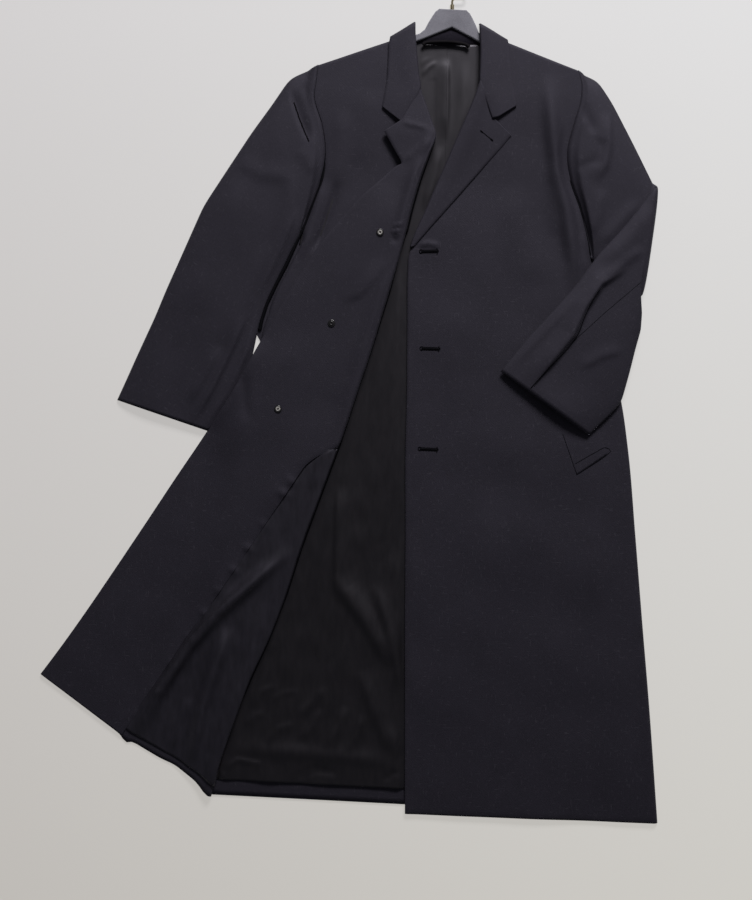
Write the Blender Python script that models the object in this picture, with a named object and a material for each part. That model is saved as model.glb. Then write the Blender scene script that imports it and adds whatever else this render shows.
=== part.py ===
"""Maxi coat of black wool, laid flat on its back on a slim hanger. The left front lies closed, and the
right front is thrown open: it turns over at a slanting fold and shows its facing and its lining.
Left and right are the wearer's. Metres: +X towards the coat's left, +Y towards the collar, +Z up."""

import math
from collections import namedtuple

import bmesh
import bpy
from mathutils import Matrix, Vector

# Driving dimensions
WOOL = 0.0020
LINING = 0.0010
GAP = 0.0004
HANGER_THICKNESS = 0.0060
SLEEVE_HEAD_THICKNESS = 0.0110
FACING_WIDTH = 0.165
LINING_HEM_RISE = 0.026
WELT_LENGTH = 0.170
WELT_WIDTH = 0.060
WELT_THICKNESS = 0.0017
WELT_SLANT = math.radians(19)
LEFT_WELT_CENTRE = (0.368, -0.028)
RIGHT_WELT_CENTRE = (-0.048, -0.030)
BUTTON_DIAMETER = 0.026
BUTTON_THICKNESS = 0.0030
COUNTER_BUTTON_DIAMETER = 0.0110
COUNTER_BUTTON_THICKNESS = 0.0022
LOOP_DIAMETER = 0.0040
HOOK_WIRE = 0.0036
FERRULE_DIAMETER = 0.0066
FERRULE_LENGTH = 0.0070

# Heights of the middle of each wall above the surface that the coat lies on
BACK_Z = WOOL / 2
BACK_LINING_Z = WOOL + GAP + LINING / 2
UNDER_Z = WOOL + GAP + LINING + GAP
FRONT_Z = UNDER_Z + WOOL / 2
HANGER_Z = UNDER_Z + HANGER_THICKNESS / 2
HANGER_LIFT = HANGER_THICKNESS + GAP
LIFT_FROM_Y = 0.340
LIFT_FULL_Y = 0.500
ON_WOOL = WOOL + GAP
FLOOR_CLEARANCE = 0.0003

# A rolled edge, from its lowest line inwards: share of the roll's width, share of its rise
ROLL_WIDTH = 0.006
ROLL = ((0.0, 0.0), (0.04, 0.30), (0.16, 0.66), (0.40, 0.90), (1.0, 1.0))
ROLL_CLEARANCE = 0.0048
SIDE_INSET = 0.007
LEFT_SLEEVE_GAP = 0.0022
RIGHT_SLEEVE_GAP = 0.0014

# Half of the body, hem first: side edge, front edge or fold, and centre back. The side is turned down
# to the surface where down is 1, and is the armhole where down is 0.
BodyRow = namedtuple("BodyRow", "side front centre down")
LEFT_BODY = (
    BodyRow((0.501, -0.695), (0.089, -0.679), (0.137, -0.667), 1),
    BodyRow((0.486, -0.485), (0.089, -0.480), (0.139, -0.475), 1),
    BodyRow((0.477, -0.377), (0.089, -0.372), (0.141, -0.370), 1),
    BodyRow((0.465, -0.226), (0.090, -0.222), (0.143, -0.220), 1),
    BodyRow((0.453, -0.085), (0.090, -0.085), (0.145, -0.085), 1),
    BodyRow((0.442, -0.007), (0.092, -0.006), (0.146, -0.005), 1),
    BodyRow((0.409, 0.112), (0.093, 0.114), (0.148, 0.114), 1),
    BodyRow((0.394, 0.210), (0.094, 0.212), (0.150, 0.214), 1),
    BodyRow((0.3915, 0.226), (0.095, 0.229), (0.150, 0.232), 0),
    BodyRow((0.390, 0.247), (0.102, 0.250), (0.151, 0.253), 0),
    BodyRow((0.376, 0.306), (0.126, 0.308), (0.152, 0.310), 0),
    BodyRow((0.358, 0.358), (0.148, 0.359), (0.153, 0.360), 0),
    BodyRow((0.353, 0.400), (0.166, 0.400), (0.154, 0.400), 0),
    BodyRow((0.362, 0.440), (0.183, 0.440), (0.155, 0.440), 0),
    BodyRow((0.374, 0.481), (0.201, 0.481), (0.156, 0.478), 0),
    BodyRow((0.376, 0.503), (0.212, 0.508), (0.157, 0.508), 0),
    BodyRow((0.374, 0.522), (0.225, 0.552), (0.157, 0.540), 0),
    BodyRow((0.371, 0.540), (0.246, 0.582), (0.158, 0.575), 0),
)
RIGHT_BODY = (
    BodyRow((-0.226, -0.648), (-0.216, -0.648), (0.136, -0.667), 1),
    BodyRow((-0.2098, -0.500), (-0.181, -0.500), (0.138, -0.510), 1),
    BodyRow((-0.2049, -0.454), (-0.163, -0.454), (0.139, -0.460), 1),
    BodyRow((-0.1902, -0.318), (-0.106, -0.318), (0.141, -0.320), 1),
    BodyRow((-0.1729, -0.157), (-0.050, -0.157), (0.144, -0.160), 1),
    BodyRow((-0.1543, 0.016), (0.011, 0.016), (0.147, 0.010), 1),
    BodyRow((-0.1477, 0.079), (0.032, 0.079), (0.148, 0.072), 1),
    BodyRow((-0.1418, 0.120), (0.044, 0.120), (0.148, 0.112), 1),
    BodyRow((-0.1295, 0.162), (0.057, 0.162), (0.149, 0.153), 1),
    BodyRow((-0.1010, 0.219), (0.074, 0.219), (0.150, 0.210), 1),
    BodyRow((-0.0812, 0.262), (0.086, 0.262), (0.150, 0.255), 1),
    BodyRow((-0.080, 0.274), (0.089, 0.274), (0.150, 0.268), 0),
    BodyRow((-0.071, 0.295), (0.095, 0.297), (0.151, 0.290), 0),
    BodyRow((-0.054, 0.336), (0.106, 0.337), (0.152, 0.330), 0),
    BodyRow((-0.043, 0.371), (0.116, 0.371), (0.153, 0.366), 0),
    BodyRow((-0.040, 0.397), (0.127, 0.398), (0.154, 0.395), 0),
    BodyRow((-0.045, 0.443), (0.131, 0.445), (0.155, 0.442), 0),
    BodyRow((-0.057, 0.482), (0.120, 0.482), (0.156, 0.482), 0),
    BodyRow((-0.055, 0.513), (0.106, 0.535), (0.157, 0.530), 0),
    BodyRow((-0.052, 0.544), (0.074, 0.584), (0.158, 0.575), 0),
)
FIRST_RIGHT_FRONT_ROW = 1
CENTRE_BACK_HEM = (0.137, -0.667)
CENTRE_BACK_NECK = (0.158, 0.575)
LEFT_NECK_POINT = (0.246, 0.582)
RIGHT_NECK_POINT = (0.074, 0.585)

# The thrown-open right front, collar end first: the fold, a point half way, and the front edge
OpenRow = namedtuple("OpenRow", "fold middle edge")
OPEN_FRONT = (
    OpenRow((0.112, 0.500), (0.083, 0.450), (0.055, 0.432)),
    OpenRow((0.121, 0.475), (0.090, 0.438), (0.062, 0.420)),
    OpenRow((0.130, 0.448), (0.098, 0.420), (0.072, 0.402)),
    OpenRow((0.137, 0.425), (0.106, 0.400), (0.083, 0.382)),
    OpenRow((0.125, 0.392), (0.098, 0.380), (0.072, 0.373)),
    OpenRow((0.112, 0.358), (0.080, 0.356), (0.047, 0.351)),
    OpenRow((0.097, 0.308), (0.057, 0.320), (0.016, 0.324)),
    OpenRow((0.084, 0.255), (0.034, 0.281), (-0.015, 0.290)),
    OpenRow((0.070, 0.205), (0.010, 0.240), (-0.045, 0.254)),
    OpenRow((0.052, 0.145), (-0.015, 0.183), (-0.075, 0.210)),
    OpenRow((0.033, 0.082), (-0.036, 0.124), (-0.104, 0.163)),
    OpenRow((0.011, 0.016), (-0.067, 0.056), (-0.144, 0.094)),
    OpenRow((-0.021, -0.079), (-0.105, -0.034), (-0.190, 0.012)),
    OpenRow((-0.050, -0.157), (-0.143, -0.108), (-0.236, -0.058)),
    OpenRow((-0.083, -0.246), (-0.187, -0.192), (-0.290, -0.138)),
    OpenRow((-0.106, -0.318), (-0.221, -0.262), (-0.335, -0.206)),
    OpenRow((-0.135, -0.394), (-0.261, -0.338), (-0.386, -0.282)),
    OpenRow((-0.163, -0.454), (-0.294, -0.396), (-0.424, -0.338)),
    OpenRow((-0.190, -0.525), (-0.326, -0.459), (-0.462, -0.392)),
    OpenRow((-0.213, -0.590), (-0.352, -0.511), (-0.490, -0.430)),
    OpenRow((-0.226, -0.640), (-0.371, -0.553), (-0.506, -0.451)),
)
LINING_FROM_LENGTH = 0.200
OPEN_ROW_SPACING = 0.060
FACING_STEPS = 8
INNER_STEPS = 7
# How high the open front stands over the layers below it, from collar to hem: place along Y, height
OPEN_LOFT = ((0.50, 0.0005), (0.42, 0.0045), (0.30, 0.0050), (0.10, 0.0042), (-0.10, 0.0032),
             (-0.45, 0.0008), (-0.65, 0.0004))
SIDE_FOLD_TOP = (-0.143, 0.120)
SIDE_FOLD_SLOPE = 0.1075
DROP_FROM = 0.004
DROP_WIDTH = 0.075

# Collar leaf: from the fold at the side of the neck, by a point half way, to the leaf's lower edge
LeafRow = namedtuple("LeafRow", "fold middle edge")
LEFT_LEAF = (
    LeafRow((0.2130, 0.6100), (0.2130, 0.515), (0.2340, 0.4545)),
    LeafRow((0.2272, 0.6012), (0.2290, 0.516), (0.2450, 0.4600)),
    LeafRow((0.2414, 0.5923), (0.2460, 0.516), (0.2575, 0.4670)),
    LeafRow((0.2555, 0.5835), (0.2625, 0.516), (0.2700, 0.4740)),
)
RIGHT_LEAF = (
    LeafRow((0.1040, 0.6130), (0.1095, 0.515), (0.0835, 0.4510)),
    LeafRow((0.0912, 0.6053), (0.0940, 0.516), (0.0735, 0.4580)),
    LeafRow((0.0784, 0.5977), (0.0780, 0.516), (0.0630, 0.4650)),
    LeafRow((0.0655, 0.5900), (0.0610, 0.516), (0.0520, 0.4720)),
)
LEAF_GORGE_GAP = 0.0012
COLLAR_BACK_LOWER = ((0.1040, 0.5819), (0.1580, 0.5755), (0.2130, 0.5799))
COLLAR_BACK_UPPER = ((0.1064, 0.6115), (0.1585, 0.6050), (0.2106, 0.6085))

# Left lapel, from its break point up: the roll line, a point half way, and the outer edge
LapelRow = namedtuple("LapelRow", "roll middle edge")
LEFT_LAPEL = (
    LapelRow((0.1010, 0.2500), (0.1050, 0.2520), (0.1090, 0.2530)),
    LapelRow((0.1260, 0.3080), (0.1390, 0.3070), (0.1530, 0.3030)),
    LapelRow((0.1480, 0.3590), (0.1730, 0.3580), (0.1970, 0.3530)),
    LapelRow((0.1660, 0.4000), (0.1990, 0.3980), (0.2290, 0.3890)),
    LapelRow((0.1880, 0.4500), (0.2160, 0.4260), (0.2480, 0.4100)),
    LapelRow((0.2115, 0.5060), (0.2320, 0.4520), (0.2620, 0.4260)),
)

LAPEL_STEPS = (3, 4)

# Sleeves: overarm edge, underarm edge, height of the middle, thickness, turn of the flat tube about
# the row (0 lies face up, 180 has turned over at the elbow)
SleeveRow = namedtuple("SleeveRow", "over under height thickness turn")
RIGHT_SLEEVE = (
    SleeveRow((-0.099, 0.522), (-0.0845, 0.268), 0.0062, 0.0124, 0),
    SleeveRow((-0.128, 0.479), (-0.0870, 0.263), 0.0060, 0.0120, 0),
    SleeveRow((-0.161, 0.434), (-0.0910, 0.254), 0.0055, 0.0110, 0),
    SleeveRow((-0.200, 0.375), (-0.0960, 0.243), 0.0050, 0.0100, 0),
    SleeveRow((-0.241, 0.314), (-0.1060, 0.219), 0.0045, 0.0090, 0),
    SleeveRow((-0.281, 0.222), (-0.1350, 0.162), 0.0042, 0.0084, 0),
    SleeveRow((-0.321, 0.130), (-0.1590, 0.079), 0.0040, 0.0080, 0),
    SleeveRow((-0.351, 0.064), (-0.1880, 0.018), 0.0039, 0.0078, 0),
    SleeveRow((-0.381, -0.003), (-0.2350, -0.052), 0.0039, 0.0078, 0),
)
LEFT_SLEEVE = (
    SleeveRow((0.405, 0.517), (0.4050, 0.214), 0.0060, 0.0120, 0),
    SleeveRow((0.430, 0.485), (0.4250, 0.203), 0.0054, 0.0108, 0),
    SleeveRow((0.468, 0.414), (0.4520, 0.185), 0.0046, 0.0092, 0),
    SleeveRow((0.500, 0.347), (0.4750, 0.170), 0.0040, 0.0080, 0),
    SleeveRow((0.502, 0.344), (0.4775, 0.168), 0.0052, 0.0080, 45),
    SleeveRow((0.503, 0.342), (0.4785, 0.167), 0.0084, 0.0080, 90),
    SleeveRow((0.502, 0.340), (0.4775, 0.166), 0.0116, 0.0080, 135),
    SleeveRow((0.500, 0.338), (0.4750, 0.164), 0.0128, 0.0080, 180),
    SleeveRow((0.452, 0.285), (0.4770, 0.139), 0.0128, 0.0080, 180),
    SleeveRow((0.403, 0.232), (0.4730, 0.110), 0.0126, 0.0080, 180),
    SleeveRow((0.365, 0.180), (0.4640, 0.080), 0.0126, 0.0080, 180),
    SleeveRow((0.326, 0.137), (0.4540, 0.040), 0.0126, 0.0080, 180),
    SleeveRow((0.286, 0.094), (0.4390, -0.012), 0.0128, 0.0084, 180),
    SleeveRow((0.244, 0.044), (0.3870, -0.062), 0.0132, 0.0092, 180),
)
ACROSS_SLEEVE = (0.0, 0.03, 0.10, 0.22, 0.36, 0.50, 0.64, 0.78, 0.90, 0.97, 1.0)
SLEEVE_ROUNDNESS = 4.0
ELBOW_REACH = 0.0035

# Folds: one end, the other end, width across, height
Fold = namedtuple("Fold", "start end width height")
FRONT_FOLDS = (
    Fold((0.322, 0.415), (0.352, 0.262), 0.030, 0.0040),
    Fold((0.250, -0.120), (0.215, -0.560), 0.060, 0.0025),
    Fold((0.420, -0.200), (0.445, -0.560), 0.050, 0.0022),
)
BACK_LINING_FOLDS = (
    Fold((-0.020, -0.200), (-0.030, -0.350), 0.030, 0.0022),
    Fold((-0.030, -0.330), (0.035, -0.470), 0.035, 0.0024),
    Fold((0.018, -0.310), (0.050, -0.520), 0.030, 0.0020),
    Fold((-0.140, -0.590), (0.040, -0.600), 0.035, 0.0022),
)
OPEN_LINING_FOLDS = (
    Fold((-0.120, -0.270), (-0.330, -0.520), 0.035, 0.0040),
    Fold((-0.170, -0.390), (-0.230, -0.560), 0.035, 0.0032),
)

# Buttons along the right front: place across and along
BUTTONS = ((0.048, 0.267), (-0.030, 0.121), (-0.117, -0.018))

# Hanger, its right half in its own frame, from the middle of its top edge: across, along
HANGER_TOP = (0.167, 0.6325)
HANGER_TILT = math.radians(-3)
HANGER_HALF = ((0.022, 0.0), (0.028, -0.005), (0.033, -0.013), (0.039, -0.024), (0.044, -0.035),
               (0.052, -0.042), (0.115, -0.065), (0.172, -0.086), (0.180, -0.093), (0.176, -0.102),
               (0.115, -0.080), (0.045, -0.050))
HANGER_APEX = (0.0, -0.029)
HANGER_BEVEL = 0.0018
HOOK_ROUTE = ((0.166, 0.6407), (0.166, 0.6500), (0.188, 0.6500), (0.188, 0.6900), (0.150, 0.6900),
              (0.150, 0.6760))
LOOP_ROUTE = ((0.122, 0.5740), (0.138, 0.5775), (0.158, 0.5790), (0.178, 0.5775), (0.193, 0.5740))

COLOURS = {
    "wool": ((0.027, 0.025, 0.032), 0.92, 0.0),
    "satin": ((0.012, 0.011, 0.015), 0.42, 0.0),
    "horn": ((0.030, 0.029, 0.033), 0.35, 0.0),
    "velvet": ((0.070, 0.068, 0.082), 0.80, 0.0),
    "gold": ((0.760, 0.620, 0.420), 0.28, 1.0),
}


def clear_scene():
    for obj in list(bpy.data.objects):
        bpy.data.objects.remove(obj, do_unlink=True)


def material(name, finish):
    colour, roughness, metallic = COLOURS[finish]
    made = bpy.data.materials.new(name)
    made.use_nodes = True
    shader = made.node_tree.nodes["Principled BSDF"]
    shader.inputs["Base Color"].default_value = (*colour, 1.0)
    shader.inputs["Roughness"].default_value = roughness
    shader.inputs["Metallic"].default_value = metallic
    return made


def add_object(name, mesh, finish):
    obj = bpy.data.objects.new(name, mesh)
    bpy.context.scene.collection.objects.link(obj)
    mesh.materials.append(material(name + "_finish", finish))
    return obj


def smooth_step(share):
    share = min(1.0, max(0.0, share))
    return share * share * (3 - 2 * share)


def table_value(table, place):
    """Height read from a table of (place, height) that runs down from its first place."""
    for (upper, high), (lower, low) in zip(table, table[1:]):
        if place >= lower:
            share = min(1.0, max(0.0, (upper - place) / (upper - lower)))
            return high + (low - high) * smooth_step(share)
    return table[-1][1]


def fold_height(folds, x, y):
    """Sum of soft ridges, each full in the middle of its length and gone at its ends."""
    total = 0.0
    point = Vector((x, y))
    for fold in folds:
        start = Vector(fold.start)
        run = Vector(fold.end) - start
        along = (point - start).dot(run) / run.length_squared
        if 0.0 < along < 1.0:
            aside = (point - start - along * run).length
            total += fold.height * math.sin(math.pi * along) * math.exp(-((2 * aside / fold.width) ** 2))
    return total


def hanger_lift(y):
    return HANGER_LIFT * smooth_step((y - LIFT_FROM_Y) / (LIFT_FULL_Y - LIFT_FROM_Y))


def back_height(x, y):
    return BACK_Z


def back_lining_height(x, y):
    return BACK_LINING_Z + fold_height(BACK_LINING_FOLDS, x, y)


def front_height(x, y):
    return FRONT_Z + hanger_lift(y)


def left_front_height(x, y):
    return front_height(x, y) + fold_height(FRONT_FOLDS, x, y)


def on_front_height(x, y):
    return front_height(x, y) + ON_WOOL


def side_fold_x(y):
    return SIDE_FOLD_TOP[0] - (SIDE_FOLD_TOP[1] - y) * SIDE_FOLD_SLOPE


def open_front_height(x, y):
    """The open front lies over the body, and slopes down to the surface beyond the side fold."""
    over_body = front_height(x, y) + ON_WOOL + table_value(OPEN_LOFT, y)
    share = smooth_step((x - side_fold_x(y) + DROP_FROM + DROP_WIDTH) / DROP_WIDTH)
    return BACK_Z + (over_body - BACK_Z) * share


def facing_height(x, y):
    return open_front_height(x, y) + ON_WOOL


def open_lining_height(x, y):
    return open_front_height(x, y) + WOOL / 2 + GAP + LINING / 2 + fold_height(OPEN_LINING_FOLDS, x, y)


def shortened(points, start, end):
    """The line through the points with a length cut off at its start and at its end."""
    line = [Vector(point) for point in points]
    line[0] = line[0] + (line[1] - line[0]).normalized() * start
    line[-1] = line[-1] + (line[-2] - line[-1]).normalized() * end
    return line


def point_on(line, distance):
    for first, second in zip(line, line[1:]):
        length = (second - first).length
        if distance <= length or second is line[-1]:
            return first + (second - first) * (distance / length)
        distance -= length
    return line[-1].copy()


def line_length(line):
    return sum((second - first).length for first, second in zip(line, line[1:]))


def flat_stations(line, counts, height):
    """Points along a line in plan, evenly spaced between its own points, each at its height."""
    points = []
    for (first, second), count in zip(zip(line, line[1:]), counts):
        points += [first + (second - first) * (step / count) for step in range(count)]
    points.append(line[-1])
    return [Vector((p.x, p.y, height(p.x, p.y))) for p in points]


def rolled_stations(line, counts, height, low, down):
    """As flat_stations, with the first end of the line rolled down to the height low."""
    rolled = []
    for inset, rise in ROLL[:-1]:
        p = point_on(line, inset * ROLL_WIDTH)
        top = height(p.x, p.y)
        rolled.append(Vector((p.x, p.y, top + (low - top) * (1 - rise) * down)))
    inner = shortened(line, ROLL_WIDTH, 0.0)
    return rolled + flat_stations(inner, counts, height)


def refined(rows, least):
    """Rows with others put between them wherever two lie more than the least spacing apart."""
    result = [rows[0]]
    for first, second in zip(rows, rows[1:]):
        apart = max((a - b).length for a, b in zip(first, second))
        steps = max(1, round(apart / least))
        for step in range(1, steps + 1):
            result.append([a.lerp(b, step / steps) for a, b in zip(first, second)])
    return result


def reshaped(rows, height):
    """The rows with each point at the height of its own place."""
    return [[Vector((p.x, p.y, height(p.x, p.y))) for p in row] for row in rows]


def cloth(name, rows, thickness, finish, closed=False):
    """A wall of cloth through the rows of points. A closed one is a tube, and its points lie outside."""
    columns = len(rows[0])
    mesh_builder = bmesh.new()
    bmesh.ops.create_grid(mesh_builder, x_segments=columns - 1, y_segments=len(rows) - 1, size=1.0)
    mesh_builder.verts.ensure_lookup_table()
    for index, vertex in enumerate(mesh_builder.verts):
        vertex.co = rows[index // columns][index % columns]
    if closed:
        bmesh.ops.remove_doubles(mesh_builder, verts=mesh_builder.verts, dist=1e-6)
        bmesh.ops.recalc_face_normals(mesh_builder, faces=mesh_builder.faces)
    for face in mesh_builder.faces:
        face.smooth = True
    mesh = bpy.data.meshes.new(name)
    mesh_builder.to_mesh(mesh)
    mesh_builder.free()
    obj = add_object(name, mesh, finish)
    wall = obj.modifiers.new("wall", "SOLIDIFY")
    wall.thickness = thickness
    wall.offset = -1.0 if closed else 0.0
    wall.use_rim = True
    return obj


def centre_back_x(y):
    """The centre-back seam is one straight line from the hem to the neck."""
    share = (y - CENTRE_BACK_HEM[1]) / (CENTRE_BACK_NECK[1] - CENTRE_BACK_HEM[1])
    return CENTRE_BACK_HEM[0] + share * (CENTRE_BACK_NECK[0] - CENTRE_BACK_HEM[0])


def body_line(row, start_inset, middle=None, end=None):
    finish = row.front if end is None else end
    half_way = (Vector(row.side) + Vector(finish)) / 2 if middle is None else middle
    return shortened((row.side, half_way, finish), start_inset, 0.0)


def make_back(name, body, neck_point, height, thickness, finish, hem_rise, inset):
    """Half of the back, or of its lining, from the side seam to the centre back."""
    rows = []
    for row in body:
        middle = neck_point if row is body[-1] else None
        line = body_line(row, inset if row.down else 0.0, middle, row.centre)
        towards_side = 1 if row.side[0] > row.centre[0] else -1
        line[-1].x = centre_back_x(line[-1].y) + towards_side * GAP
        rows.append(flat_stations(line, (4, 4) if thickness == WOOL else (6, 4), height))
    rows[0] = [p + Vector((0.0, hem_rise, 0.0)) for p in rows[0]]
    if thickness < WOOL:
        rows = reshaped(refined(rows, 0.055), height)
    return cloth(name, rows, thickness, finish)


def make_left_front():
    """The closed front. Its side is rolled down, and its front edge stops short of the lapel's roll."""
    rows = []
    for row in LEFT_BODY:
        line = shortened(body_line(row, 0.0), 0.0, ROLL_CLEARANCE if row.down == 0 else 0.0)
        low = FLOOR_CLEARANCE
        rows.append(rolled_stations(line, (6, 7), left_front_height, low, row.down))
    rows = refined(rows, 0.080)
    return cloth("left_front", rows, WOOL, "wool")


def make_right_front_side():
    """The part of the right front that lies as worn, from the side to the slanting fold."""
    rows = []
    for row in RIGHT_BODY[FIRST_RIGHT_FRONT_ROW:]:
        line = shortened(body_line(row, 0.0), 0.0, ROLL_CLEARANCE)
        rows.append(rolled_stations(line, (3, 4), front_height, FLOOR_CLEARANCE, row.down))
    return cloth("right_front_side", rows, WOOL, "wool")


def open_front_rows():
    """Plan points of the thrown-open front: front edge, facing seam, then the rolled slanting fold."""
    rows = []
    for fold, middle, edge in refined([shortened(row, 0.0, 0.0) for row in OPEN_FRONT], OPEN_ROW_SPACING):
        line = [edge, middle, fold]
        length = line_length(line)
        seam = min(FACING_WIDTH, length - ROLL_WIDTH - ROLL_CLEARANCE)
        inner = length - ROLL_WIDTH
        plan = [point_on(line, seam * step / FACING_STEPS) for step in range(FACING_STEPS)]
        plan += [point_on(line, seam + (inner - seam) * step / INNER_STEPS) for step in range(INNER_STEPS)]
        rolled = [(point_on(line, length - inset * ROLL_WIDTH), rise) for inset, rise in ROLL[::-1]]
        rows.append([(p, 1.0) for p in plan] + rolled)
    return rows


def make_right_front(plan):
    """The thrown-open part: from the slanting fold, over the body and down to the surface."""
    rows = []
    for points in plan:
        low = UNDER_Z + hanger_lift(points[-1][0].y) + FLOOR_CLEARANCE
        heights = [low + (open_front_height(p.x, p.y) - low) * rise for p, rise in points]
        rows.append([Vector((p.x, p.y, z)) for (p, rise), z in zip(points, heights)])
    return cloth("right_front", rows, WOOL, "wool")


def make_right_facing(plan):
    """The facing, from the front edge inwards, on the open front and its lapel."""
    rows = [[Vector((p.x, p.y, facing_height(p.x, p.y))) for p, rise in points[:FACING_STEPS + 1]]
            for points in plan]
    return cloth("right_facing", rows, WOOL, "wool")


def make_right_front_lining(plan):
    """The lining between the facing and the slanting fold, ending above the hem."""
    rows = []
    for points in plan:
        inner = [p for p, rise in points[FACING_STEPS:FACING_STEPS + INNER_STEPS]]
        if (points[0][0] - points[-1][0]).length > LINING_FROM_LENGTH:
            inner[0] = inner[0] + (inner[1] - inner[0]).normalized() * GAP
            rows.append(inner)
    back_by = LINING_HEM_RISE / (rows[-1][0] - rows[-2][0]).length
    rows[-1] = [last.lerp(before, back_by) for last, before in zip(rows[-1], rows[-2])]
    lying = [[Vector((p.x, p.y, open_lining_height(p.x, p.y))) for p in row] for row in rows]
    return cloth("right_front_lining", lying, LINING, "satin")


def make_left_lapel():
    """The turned-out top of the left front with its facing, rolled over at the roll line."""
    rows = []
    for row in LEFT_LAPEL:
        low = UNDER_Z + hanger_lift(row.roll[1]) + FLOOR_CLEARANCE
        line = shortened(row, 0.0, 0.0)
        scale = min(1.0, line_length(line) / (2 * ROLL_WIDTH))
        if scale < 1.0:
            rows.append(narrow_roll(line, low, scale, sum(LAPEL_STEPS)))
        else:
            rows.append(rolled_stations(line, LAPEL_STEPS, on_front_height, low, 1))
    return cloth("left_lapel", refined(rows, 0.040), WOOL, "wool")


def narrow_roll(line, low, scale, steps):
    """The roll squeezed into a line shorter than two of its widths, as at the lapel's break point."""
    points = []
    for inset, rise in ROLL[:-1]:
        p = point_on(line, inset * ROLL_WIDTH * scale)
        top = on_front_height(p.x, p.y)
        points.append(Vector((p.x, p.y, low + (top - low) * rise)))
    start = ROLL_WIDTH * scale
    length = line_length(line)
    for step in range(steps + 1):
        p = point_on(line, start + (length - start) * step / steps)
        points.append(Vector((p.x, p.y, on_front_height(p.x, p.y))))
    return points


def make_collar_leaf(name, leaf):
    """One end of the collar: rolled over the shoulder at its fold, and lying on the front."""
    rows = []
    for row in leaf:
        line = shortened(row, 0.0, LEAF_GORGE_GAP)
        rows.append(rolled_stations(line, (5, 4), on_front_height, FLOOR_CLEARANCE, 1))
    return cloth(name, refined(rows, 0.012), WOOL, "wool")


def make_collar_back():
    """The collar behind the neck, under the hanger, between the two leaves."""
    rows = []
    for step in range(3):
        line = [Vector(a).lerp(Vector(b), step / 2) for a, b in zip(COLLAR_BACK_LOWER, COLLAR_BACK_UPPER)]
        rows.append(flat_stations(line, (5, 5), back_height))
    return cloth("collar_back", rows, WOOL, "wool")


def ring(line, height, thickness, turn, reach):
    """A flattened tube's section over a line in plan, turned over by the angle as at a bent elbow."""
    run = (line[-1] - line[0]).normalized()
    outward = Vector((-run.y, run.x))
    if outward.x < 0:
        outward = -outward
    total = line_length(line)
    normal = Vector((outward.x * math.sin(turn), outward.y * math.sin(turn), math.cos(turn)))
    upper, lower = [], []
    for share in ACROSS_SLEEVE:
        p = point_on(line, share * total)
        half = thickness / 2 * (1 - abs(2 * share - 1) ** SLEEVE_ROUNDNESS) ** 0.5
        middle = Vector((p.x + outward.x * reach, p.y + outward.y * reach, height))
        upper.append(middle + normal * half)
        lower.append(middle - normal * half)
    return upper + lower[-2:0:-1]


def armhole_of(body):
    """The armhole's points, from the shoulder down to the underarm."""
    return [row.side for row in body if not row.down][::-1]


def make_sleeve(name, armhole, table, shift):
    """A sleeve from the armhole's own points to its open cuff."""
    top = [Vector(point) + Vector((shift, 0.0)) for point in armhole]
    rings = [ring(top, SLEEVE_HEAD_THICKNESS / 2, SLEEVE_HEAD_THICKNESS, 0.0, 0.0)]
    for row in table:
        line = [Vector(row.over), Vector(row.under)]
        turn = math.radians(row.turn)
        rings.append(ring(line, row.height, row.thickness, turn, ELBOW_REACH * math.sin(turn)))
    rings = [points + points[:1] for points in rings]
    return cloth(name, rings, WOOL, "wool", closed=True)


def plate(name, outline, low, thickness, finish, bevel):
    """A flat plate of the outline, its edges rounded."""
    mesh_builder = bmesh.new()
    face = mesh_builder.faces.new([mesh_builder.verts.new((x, y, low)) for x, y in outline])
    made = bmesh.ops.extrude_face_region(mesh_builder, geom=[face])
    lifted = [part for part in made["geom"] if isinstance(part, bmesh.types.BMVert)]
    bmesh.ops.translate(mesh_builder, verts=lifted, vec=(0.0, 0.0, thickness))
    bmesh.ops.recalc_face_normals(mesh_builder, faces=mesh_builder.faces)
    if bevel:
        rims = [edge for edge in mesh_builder.edges if abs(edge.verts[0].co.z - edge.verts[1].co.z) < 1e-6]
        bmesh.ops.bevel(mesh_builder, geom=rims, offset=bevel, segments=2, profile=0.5, affect="EDGES")
    mesh = bpy.data.meshes.new(name)
    mesh_builder.to_mesh(mesh)
    mesh_builder.free()
    mesh.set_sharp_from_angle(angle=math.radians(40))
    return add_object(name, mesh, finish)


def disc(name, centre, low, diameter, thickness, finish, rim):
    """A round button with a soft rim, lying flat."""
    mesh_builder = bmesh.new()
    bmesh.ops.create_cone(mesh_builder, cap_ends=True, segments=16, radius1=diameter / 2,
                          radius2=diameter / 2, depth=thickness)
    edges = [edge for edge in mesh_builder.edges if edge.calc_face_angle() > math.radians(60)]
    bmesh.ops.bevel(mesh_builder, geom=edges, offset=rim, segments=1, profile=0.5, affect="EDGES")
    centre_height = low + thickness / 2
    bmesh.ops.translate(mesh_builder, verts=mesh_builder.verts, vec=(*centre, centre_height))
    mesh = bpy.data.meshes.new(name)
    mesh_builder.to_mesh(mesh)
    mesh_builder.free()
    mesh.shade_smooth()
    mesh.set_sharp_from_angle(angle=math.radians(40))
    return add_object(name, mesh, finish)


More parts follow.
